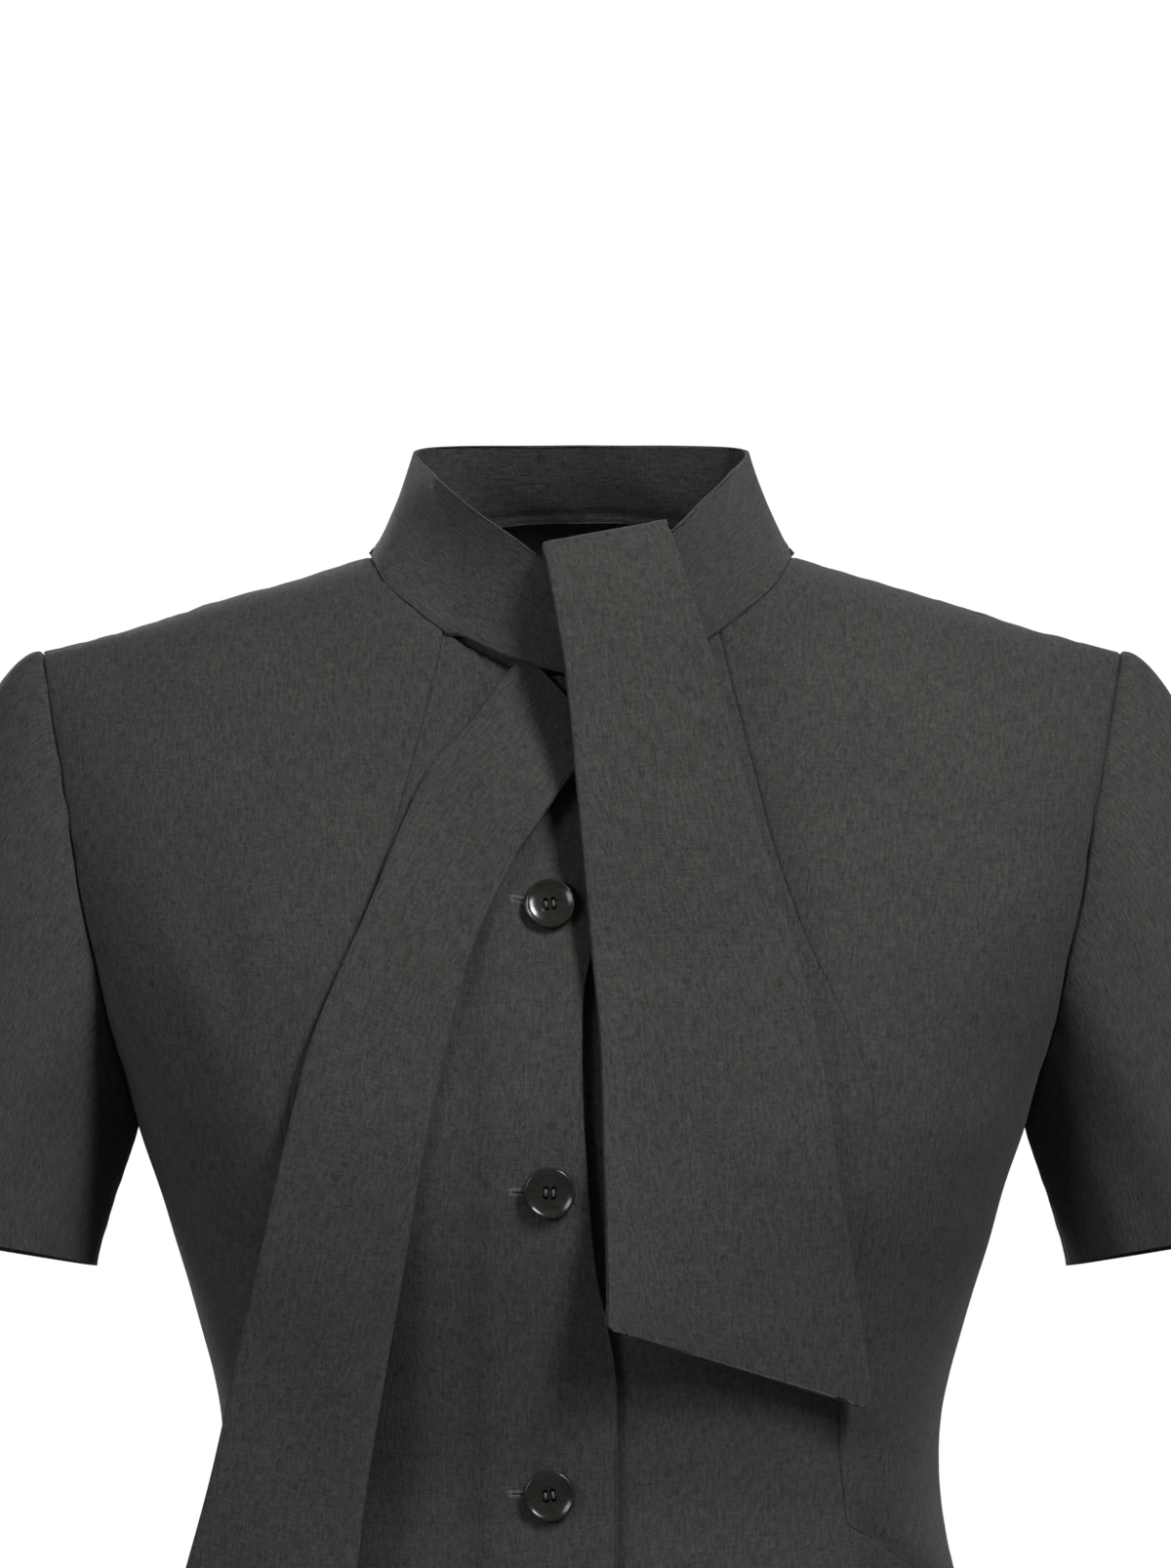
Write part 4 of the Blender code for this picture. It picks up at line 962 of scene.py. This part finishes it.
# Thread: each stitch is a small arch, set along its seam by Geometry Nodes
def makeStitchTree():
    tree = bpy.data.node_groups.new("threadStitches", "GeometryNodeTree")
    tree.interface.new_socket(name="Geometry", in_out="INPUT", socket_type="NodeSocketGeometry")
    for label, value in (("Length", 0.0017), ("Thickness", 0.0002), ("Arch", 0.0002), ("Uneven", 0.12)):
        tree.interface.new_socket(name=label, in_out="INPUT", socket_type="NodeSocketFloat").default_value = value
    tree.interface.new_socket(name="Seed", in_out="INPUT", socket_type="NodeSocketInt").default_value = 1
    tree.interface.new_socket(name="Thread", in_out="INPUT", socket_type="NodeSocketMaterial")
    tree.interface.new_socket(name="Geometry", in_out="OUTPUT", socket_type="NodeSocketGeometry")
    given = tree.nodes.new("NodeGroupInput").outputs
    end = tree.nodes.new("NodeGroupOutput")
    half = maths(tree, "MULTIPLY", given["Length"], 0.5)
    back = maths(tree, "MULTIPLY", given["Length"], -0.5)
    sunk = maths(tree, "MULTIPLY", given["Thickness"], -0.6)
    corners = [addNode(tree, "ShaderNodeCombineXYZ", {0: x, 2: z}).outputs[0]
               for x, z in ((back, sunk), (0.0, given["Arch"]), (half, sunk))]
    line = addNode(tree, "GeometryNodeCurveQuadraticBezier",
                   {"Resolution": 4, "Start": corners[0], "Middle": corners[1], "End": corners[2]})
    ring = addNode(tree, "GeometryNodeCurvePrimitiveCircle",
                   {"Resolution": 6, "Radius": maths(tree, "MULTIPLY", given["Thickness"], 0.5)})
    thread = addNode(tree, "GeometryNodeCurveToMesh",
                     {"Curve": line.outputs[0], "Profile Curve": ring.outputs[0], "Fill Caps": True})
    way = addNode(tree, "GeometryNodeInputNamedAttribute", {"Name": "stitchWay"}, data_type="FLOAT_VECTOR")
    out = addNode(tree, "GeometryNodeInputNamedAttribute", {"Name": "stitchOut"}, data_type="FLOAT_VECTOR")
    along = addNode(tree, "FunctionNodeAlignRotationToVector", {"Vector": way.outputs[0]}, axis="X")
    upright = addNode(tree, "FunctionNodeAlignRotationToVector",
                      {"Rotation": along.outputs[0], "Vector": out.outputs[0]}, axis="Z", pivot_axis="X")
    least = maths(tree, "SUBTRACT", 1.0, given["Uneven"])
    most = maths(tree, "ADD", 1.0, given["Uneven"])
    vary = addNode(tree, "FunctionNodeRandomValue", {2: least, 3: most, "Seed": given["Seed"]}, data_type="FLOAT")
    placed = addNode(tree, "GeometryNodeInstanceOnPoints",
                     {"Points": given["Geometry"], "Instance": thread.outputs[0], "Rotation": upright.outputs[0],
                      "Scale": vary.outputs[1]})
    whole = addNode(tree, "GeometryNodeRealizeInstances", {"Geometry": placed.outputs[0]})
    finished = addNode(tree, "GeometryNodeSetMaterial", {"Geometry": whole.outputs[0], "Material": given["Thread"]})
    tree.links.new(finished.outputs[0], end.inputs[0])
    return tree


stitchTree = makeStitchTree()


def stitched(name, rows, settings):  # rows are (points, ways, outs)
    points, ways, outs = (np.concatenate([row[k] for row in rows]) for k in range(3))
    mesh = bpy.data.meshes.new(name)
    mesh.from_pydata(points.tolist(), [], [])
    for label, values in (("stitchWay", ways), ("stitchOut", outs)):
        kept = mesh.attributes.new(label, "FLOAT_VECTOR", "POINT")
        kept.data.foreach_set("vector", np.ascontiguousarray(values, np.float32).ravel())
    piece = addPiece(name, mesh)
    nodes = piece.modifiers.new("Stitches", "NODES")
    nodes.node_group = stitchTree
    for item in stitchTree.interface.items_tree:
        if item.in_out == "INPUT" and item.name in settings:
            nodes[item.identifier] = settings[item.name]
    piece.data = plainMesh(piece)
    piece.modifiers.clear()
    piece.data.shade_smooth()
    return piece


def seamRow(side, x, z, hand, spacing, depth, out=None):  # stitch places down a seam of the body
    gone = runLength(bodyPoint(side, x, z), 0)
    at = np.arange(spacing, gone[-1] - spacing / 2, spacing)
    x, z = np.interp(at, gone, x) * hand, np.interp(at, gone, z)
    normal = bodyNormal(side, x, z) if out is None else np.broadcast_to(out, (len(at), 3))
    points = bodyPoint(side, x, z) + normal * (bodyLift(side, x, z) - depth)[:, None]
    return points, unit(np.gradient(points, axis=0)), normal


def threadMaterial(name, dark, light):
    made, tree, shader = newMaterial(name, 0.4)
    where = addNode(tree, "ShaderNodeTexCoord").outputs["Object"]
    twist = addNode(tree, "ShaderNodeTexNoise", {"Vector": where, "Scale": 5200.0, "Detail": 2.0})
    tree.links.new(mixed(tree, twist.outputs[0], dark, light), shader.inputs["Base Color"])
    ply = addNode(tree, "ShaderNodeBump", {"Strength": 0.5, "Distance": 0.00005, "Height": twist.outputs[0]})
    tree.links.new(ply.outputs[0], shader.inputs["Normal"])
    rough = addNode(tree, "ShaderNodeMapRange", {0: twist.outputs[0], 3: 0.45, 4: 0.65})
    tree.links.new(rough.outputs[0], shader.inputs["Roughness"])
    return made


seamThread = threadMaterial("seamThread", (0.020, 0.0195, 0.0185), (0.095, 0.093, 0.088))
buttonThread = threadMaterial("buttonThread", (0.050, 0.048, 0.045), (0.24, 0.233, 0.220))

seamStitch = {
    "spacing": 0.0026, "Length": 0.0016, "Thickness": 0.00030, "Arch": 0.00030, "Seed": 4, "Thread": seamThread,
}


def seamStitches():
    depth = seamLook["dip"] + 0.00002
    rows = []
    spacing = seamStitch["spacing"]
    for hand in (1, -1):
        z = np.linspace(-0.031, body["corner"], 400)
        rows.append(seamRow(frontSide, princessEdge(z), z, hand, spacing, depth * princessPress(z).mean()))
        z = np.linspace(body["underarm"], body["hem"], 300)
        rows.append(seamRow(frontSide, sideEdge(z), z, hand, spacing, depth, (hand, 0, 0)))
        x = np.linspace(0.086, 0.2140, 160)
        level = shoulderLevel(frontSide, x)
        rows.append(seamRow(frontSide, x, level, hand, spacing, depth, (0.25 * hand, 0, 0.968)))
        for side in (frontSide, backSide):
            z = np.linspace(-0.045, body["underarm"] + 0.002, 260)
            rows.append(seamRow(side, sideEdge(z), z, hand, spacing, depth))
    z = np.linspace(0.016, body["hem"], 500)
    rows.append(seamRow(backSide, z * 0, z, 1, spacing, depth))
    return stitched("seamStitches", rows, seamStitch)


# Buttons, their thread and the buttonholes
buttonLook = {
    "x": -0.0122,
    "levels": {"button_top": -0.1386, "button_middle": -0.2480, "button_bottom": -0.3660},
    "turn": {"button_top": 0.10, "button_middle": -0.06, "button_bottom": 0.16},
    "seat": 0.008,
    "lift": 0.0033,
    "sides": 96,
    "holeSpread": 0.0021,
    "holeRadius": 0.00116,
    "profile": ((0.0, 0.00150), (0.0030, 0.00153), (0.0050, 0.00166), (0.0064, 0.00192), (0.0074, 0.00222),
                (0.0081, 0.00250), (0.0085, 0.00272), (0.0088, 0.00290), (0.0091, 0.00297), (0.0094, 0.00290),
                (0.0096, 0.00272), (0.0098, 0.00240), (0.00995, 0.00200), (0.0100, 0.00160), (0.0099, 0.00118),
                (0.0096, 0.00078), (0.0091, 0.00045), (0.0084, 0.00018), (0.0075, 0.00004), (0.0064, 0.0),
                (0.0, 0.0)),
}
buttonhole = {
    "start": -0.0095, "end": -0.0272, "half": 0.00085, "spacing": 0.00046, "slit": 0.00030, "lift": 0.00012,
    "tilt": {"button_top": 0.16, "button_middle": 0.0, "button_bottom": 0.03},
}
purlStitch = {"Length": 0.0015, "Thickness": 0.00036, "Arch": 0.00042, "Seed": 9, "Thread": buttonThread}


def onFront(x, z, height=0.0):  # a point on the face of the over front
    x, z = np.broadcast_arrays(np.asarray(x, float), np.asarray(z, float))
    out = bodyNormal(frontSide, x, z)
    raised = body["overRaise"] + bodyLift(frontSide, x, z) + height
    return bodyPoint(frontSide, x, z) + out * raised[..., None], out


def buttonPlace(node):  # matrix from a button's own place to the worn front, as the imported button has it
    x, z, seat = buttonLook["x"], buttonLook["levels"][node], buttonLook["seat"]
    place, left, right, low, high = (Vector(bodyPoint(frontSide, x + dx, z + dz)) for dx, dz in
                                     ((0, 0), (-seat, 0), (seat, 0), (0, -seat), (0, seat)))
    across = right - left
    out = (low - high).cross(across).normalized()
    across.normalize()
    up = out.cross(across)
    square = Matrix((across, up, out)).transposed().to_4x4()
    turn = Matrix.Rotation(buttonLook["turn"][node], 4, "Z")
    return Matrix.Translation(place + out * buttonLook["lift"]) @ square @ turn


def holePlaces():
    for k in range(4):
        a = math.pi / 4 + k * math.pi / 2
        yield buttonLook["holeSpread"] * math.cos(a), buttonLook["holeSpread"] * math.sin(a)


def turnedButton(material):
    look = buttonLook
    sides, rings = look["sides"], look["profile"][1:-1]
    turns = np.arange(sides) * 2 * math.pi / sides
    points = [(r * math.cos(a), r * math.sin(a), h) for r, h in rings for a in turns]
    points += [(0, 0, look["profile"][0][1]), (0, 0, look["profile"][-1][1])]
    top, bottom, last = len(points) - 2, len(points) - 1, (len(rings) - 1) * sides
    faces = []
    for k in range(sides):
        beside = (k + 1) % sides
        faces.append((top, k, beside))
        faces.append((bottom, last + beside, last + k))
        for ring in range(0, last, sides):
            faces.append((ring + k, ring + sides + k, ring + sides + beside, ring + beside))
    mesh = bpy.data.meshes.new("turnedButton")
    mesh.from_pydata(points, [], faces)
    mesh.materials.append(material)
    piece = addPiece("turnedButton", mesh)
    cutters = []
    for k, (x, y) in enumerate(holePlaces()):
        bpy.ops.mesh.primitive_cylinder_add(vertices=28, radius=look["holeRadius"], depth=0.01, location=(x, y, 0))
        cutters.append(bpy.context.active_object)
        cut = piece.modifiers.new(f"Hole {k + 1}", "BOOLEAN")
        cut.operation, cut.solver, cut.object = "DIFFERENCE", "EXACT", cutters[-1]
    edge = piece.modifiers.new("Hole edges", "BEVEL")
    edge.width, edge.segments, edge.limit_method, edge.angle_limit = 0.00014, 3, "ANGLE", math.radians(50)
    turned = plainMesh(piece)
    for item in cutters + [piece]:
        bpy.data.objects.remove(item, do_unlink=True)
    turned.shade_smooth()
    return turned


def threadLines(name, lines, radius, material):
    curve = bpy.data.curves.new(name, "CURVE")
    curve.dimensions, curve.bevel_depth, curve.bevel_resolution, curve.use_fill_caps = "3D", radius, 1, True
    for line in lines:
        spline = curve.splines.new("POLY")
        spline.points.add(len(line) - 1)
        for point, (x, y, z) in zip(spline.points, line):
            point.co = (x, y, z, 1)
    drawn = addPiece(name, curve)
    mesh = plainMesh(drawn)
    bpy.data.objects.remove(drawn, do_unlink=True)
    mesh.materials.clear()
    mesh.materials.append(material)
    mesh.shade_smooth()
    return addPiece(name, mesh)


sewnLook = {
    "strandGap": 0.00027, "middleProud": 0.00005, "secondRow": 0.00028,
    "strand": ((0.0, 0.0004), (0.06, 0.00135), (0.18, 0.0019), (0.5, 0.0021), (0.82, 0.0019), (0.94, 0.00135),
               (1.0, 0.0004)),  # share of the way between two holes, height over the button's middle
    "shank": (0.0002, -0.0012), "shankRadius": 0.0011, "turns": 4,
}


def sewnOn(node):  # two rows of strands over the face and the wound shank below it
    place = buttonPlace(node)
    holes = [Vector((x, y, 0)) for x, y in holePlaces()]
    lines = []
    for k in range(2):
        first, last = holes[k], holes[3 - k]
        sideways = (last - first).normalized().cross(Vector((0, 0, 1)))
        for strand in (-1, 0, 1):
            offset = sideways * strand * sewnLook["strandGap"]
            shares, heights = np.array(sewnLook["strand"]).T
            heights = heights + sewnLook["secondRow"] * k * (shares == 0.5)
            fine = np.linspace(0, 1, 22)
            heights = curveThrough(shares, heights, fine) + sewnLook["middleProud"] * (strand == 0)
            lines.append([place @ (first.lerp(last, share) + offset + Vector((0, 0, height)))
                          for share, height in zip(fine, heights)])
    coil = []
    top, bottom = sewnLook["shank"]
    for turn in np.linspace(0, sewnLook["turns"], sewnLook["turns"] * 16 + 1):
        a = turn * 2 * math.pi
        r = sewnLook["shankRadius"]
        height = top + (bottom - top) * turn / sewnLook["turns"]
        coil.append(place @ Vector((r * math.cos(a), r * math.sin(a), height)))
    return lines + [coil]


def buttonholePoints(node):
    x0, x1, tilt = buttonhole["start"], buttonhole["end"], buttonhole["tilt"][node]
    z0 = buttonLook["levels"][node]
    x = np.arange(x0, x1, -buttonhole["spacing"])
    level = z0 + (x0 - x) * tilt
    rows = []
    for over in (1, -1):
        points, outs = onFront(x, level + over * buttonhole["half"], buttonhole["lift"] - 0.0001)
        inner, _ = onFront(x, level, 0)
        rows.append((points, unit(points - inner), outs))
    z = z0 + (x0 - x1) * tilt + np.linspace(-1, 1, 5) * buttonhole["half"] * 1.3
    points, outs = onFront(x1 - 0.0002 + 0 * z, z, buttonhole["lift"])
    rows.append((points, np.broadcast_to((1.0, 0, 0), points.shape), outs))
    return rows


def paintedSlitPatch(material):  # a near-black sheet between the purl stitches: painted shade standing in for the shadow inside the slit
    points, faces = [], []
    for node, tilt in buttonhole["tilt"].items():
        x = np.linspace(buttonhole["start"], buttonhole["end"], 30)
        level = buttonLook["levels"][node] + (buttonhole["start"] - x) * tilt
        half = buttonhole["slit"] * (1 - (2 * np.linspace(0, 1, 30) - 1) ** 6)
        first = len(points)
        for over in (1, -1):
            line, _ = onFront(x, level + over * half, 0.00006)
            points += line.tolist()
        faces += [(first + k, first + k + 30, first + k + 31, first + k + 1) for k in range(29)]
    mesh = bpy.data.meshes.new("buttonholeSlitShade")
    mesh.from_pydata(points, [], faces)
    mesh.materials.append(material)
    piece = addPiece("buttonholeSlitShade", mesh)
    thick = piece.modifiers.new("Depth", "SOLIDIFY")
    thick.thickness, thick.offset = 0.00008, 0
    piece.data = plainMesh(piece)
    piece.modifiers.clear()
    return piece


def hornMaterial():
    made, tree, shader = newMaterial("darkHorn", 0.6)
    where = addNode(tree, "ShaderNodeTexCoord").outputs["Object"]
    drawn = addNode(tree, "ShaderNodeVectorMath", {0: where, 1: (260.0, 260.0, 900.0)}, operation="MULTIPLY")
    streak = addNode(tree, "ShaderNodeTexNoise",
                     {"Vector": drawn.outputs[0], "Scale": 1.0, "Detail": 4.0, "Distortion": 0.8})
    colour = mixed(tree, streak.outputs[0], (0.006, 0.0055, 0.005), (0.040, 0.036, 0.031))
    tree.links.new(colour, shader.inputs["Base Color"])
    rough = addNode(tree, "ShaderNodeMapRange", {0: streak.outputs[0], 3: 0.14, 4: 0.26})
    tree.links.new(rough.outputs[0], shader.inputs["Roughness"])
    wear = addNode(tree, "ShaderNodeBump", {"Strength": 0.15, "Distance": 0.0001, "Height": streak.outputs[0]})
    tree.links.new(wear.outputs[0], shader.inputs["Normal"])
    return made


# painted shade: near-black material for the sheet that stands in for the shadow inside each buttonhole slit
paintedSlitShade = threadMaterial("paintedSlitShade", (0.002, 0.002, 0.002), (0.006, 0.006, 0.006))
darkHorn = hornMaterial()
turned = turnedButton(darkHorn)
strands = []
for node in buttonLook["levels"]:
    mesh = turned.copy()
    mesh.transform(buttonPlace(node))
    button = addPiece("button" + node.split("_")[1].capitalize(), mesh)
    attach(button, "root")
    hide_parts(node)
    strands += sewnOn(node)
purls = [row for node in buttonLook["levels"] for row in buttonholePoints(node)]
for piece in (seamStitches(), threadLines("buttonThreads", strands, 0.00016, buttonThread),
              stitched("buttonholeStitches", purls, purlStitch), paintedSlitPatch(paintedSlitShade)):
    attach(piece, "root")
    print(piece.name, len(piece.data.polygons))


# Stage, light and camera
stage = {
    "floorLevel": -1.42,  # as low as the ground is under a standing wearer
    "floorReach": 6,
    "floorShade": 0.86,
    "floorGlow": 0.72,  # for the camera only, because the lights have grids and miss the floor
    "fill": 0.06,
    "spread": 50,  # of the grids on the lights, in degrees
}
lights = {  # place, the level it is aimed at, size, power
    "keyLight": ((1.5, -1.9, 2.2), -0.18, 0.8, 5.4),
    "rightLight": ((1.7, -2.1, 1.4), -0.18, 0.8, 2.0),
    "leftLight": ((-2.2, -2.0, 0.6), -0.18, 1.4, 2.1),
    "sideLight": ((-3.0, -0.7, 0.3), -0.18, 1.4, 0.5),
    "rimLight": ((0.2, 1.8, 1.4), -0.18, 1.2, 1.2),
    "backLight": ((-1.5, 2.6, 0.7), -0.25, 1.2, 4.5),
    "backFill": ((1.9, 2.0, 0.2), -0.25, 1.4, 1.6),
}
photo = {"distance": 3.5, "right": 0.00156, "level": -0.09085, "seenHeight": 0.6253, "film": 36}

paper, tree, shader = newMaterial("palePaper", 0.5)
shade, reach = stage["floorShade"], stage["floorReach"]
shader.inputs["Base Color"].default_value = (shade, shade, shade, 1)
shader.inputs["Roughness"].default_value = 0.9
shader.inputs["Emission Color"].default_value = (1, 1, 1, 1)
seen = addNode(tree, "ShaderNodeLightPath").outputs["Is Camera Ray"]
tree.links.new(maths(tree, "MULTIPLY", seen, stage["floorGlow"]), shader.inputs["Emission Strength"])
floorMesh = bpy.data.meshes.new("studioFloor")
corners = [(x * reach, y * reach, stage["floorLevel"]) for x, y in ((-1, -1), (1, -1), (1, 1), (-1, 1))]
floorMesh.from_pydata(corners, [], [(0, 1, 2, 3)])
floorMesh.materials.append(paper)
addPiece("studioFloor", floorMesh)

world = bpy.data.worlds.new("studioWorld")
bpy.context.scene.world = world
world.use_nodes = True
tree = world.node_tree
backdrop = addNode(tree, "ShaderNodeBackground", {"Color": (1, 1, 1, 1), "Strength": 1.0})
fill = addNode(tree, "ShaderNodeBackground", {"Color": (1, 1, 1, 1), "Strength": stage["fill"]})
seen = addNode(tree, "ShaderNodeLightPath").outputs["Is Camera Ray"]
both = addNode(tree, "ShaderNodeMixShader", {0: seen, 1: fill.outputs[0], 2: backdrop.outputs[0]})
tree.links.new(both.outputs[0], tree.nodes["World Output"].inputs[0])

for name, (place, level, size, power) in lights.items():
    data = bpy.data.lights.new(name, "AREA")
    data.shape, data.size, data.energy = "DISK", size, power
    data.spread = math.radians(stage["spread"])
    lamp = addPiece(name, data)
    lamp.location = place
    lamp.rotation_euler = (Vector((0, 0, level)) - Vector(place)).to_track_quat("-Z", "Y").to_euler()

camera = addPiece("photoCamera", bpy.data.cameras.new("photoCamera"))
camera.location = (photo["right"], -photo["distance"], photo["level"])
camera.rotation_euler = (math.pi / 2, 0, 0)
camera.data.sensor_fit = "VERTICAL"
camera.data.sensor_height = photo["film"]
camera.data.lens = photo["film"] * photo["distance"] / photo["seenHeight"]
bpy.context.scene.camera = camera
bpy.context.scene.view_settings.view_transform = "Standard"
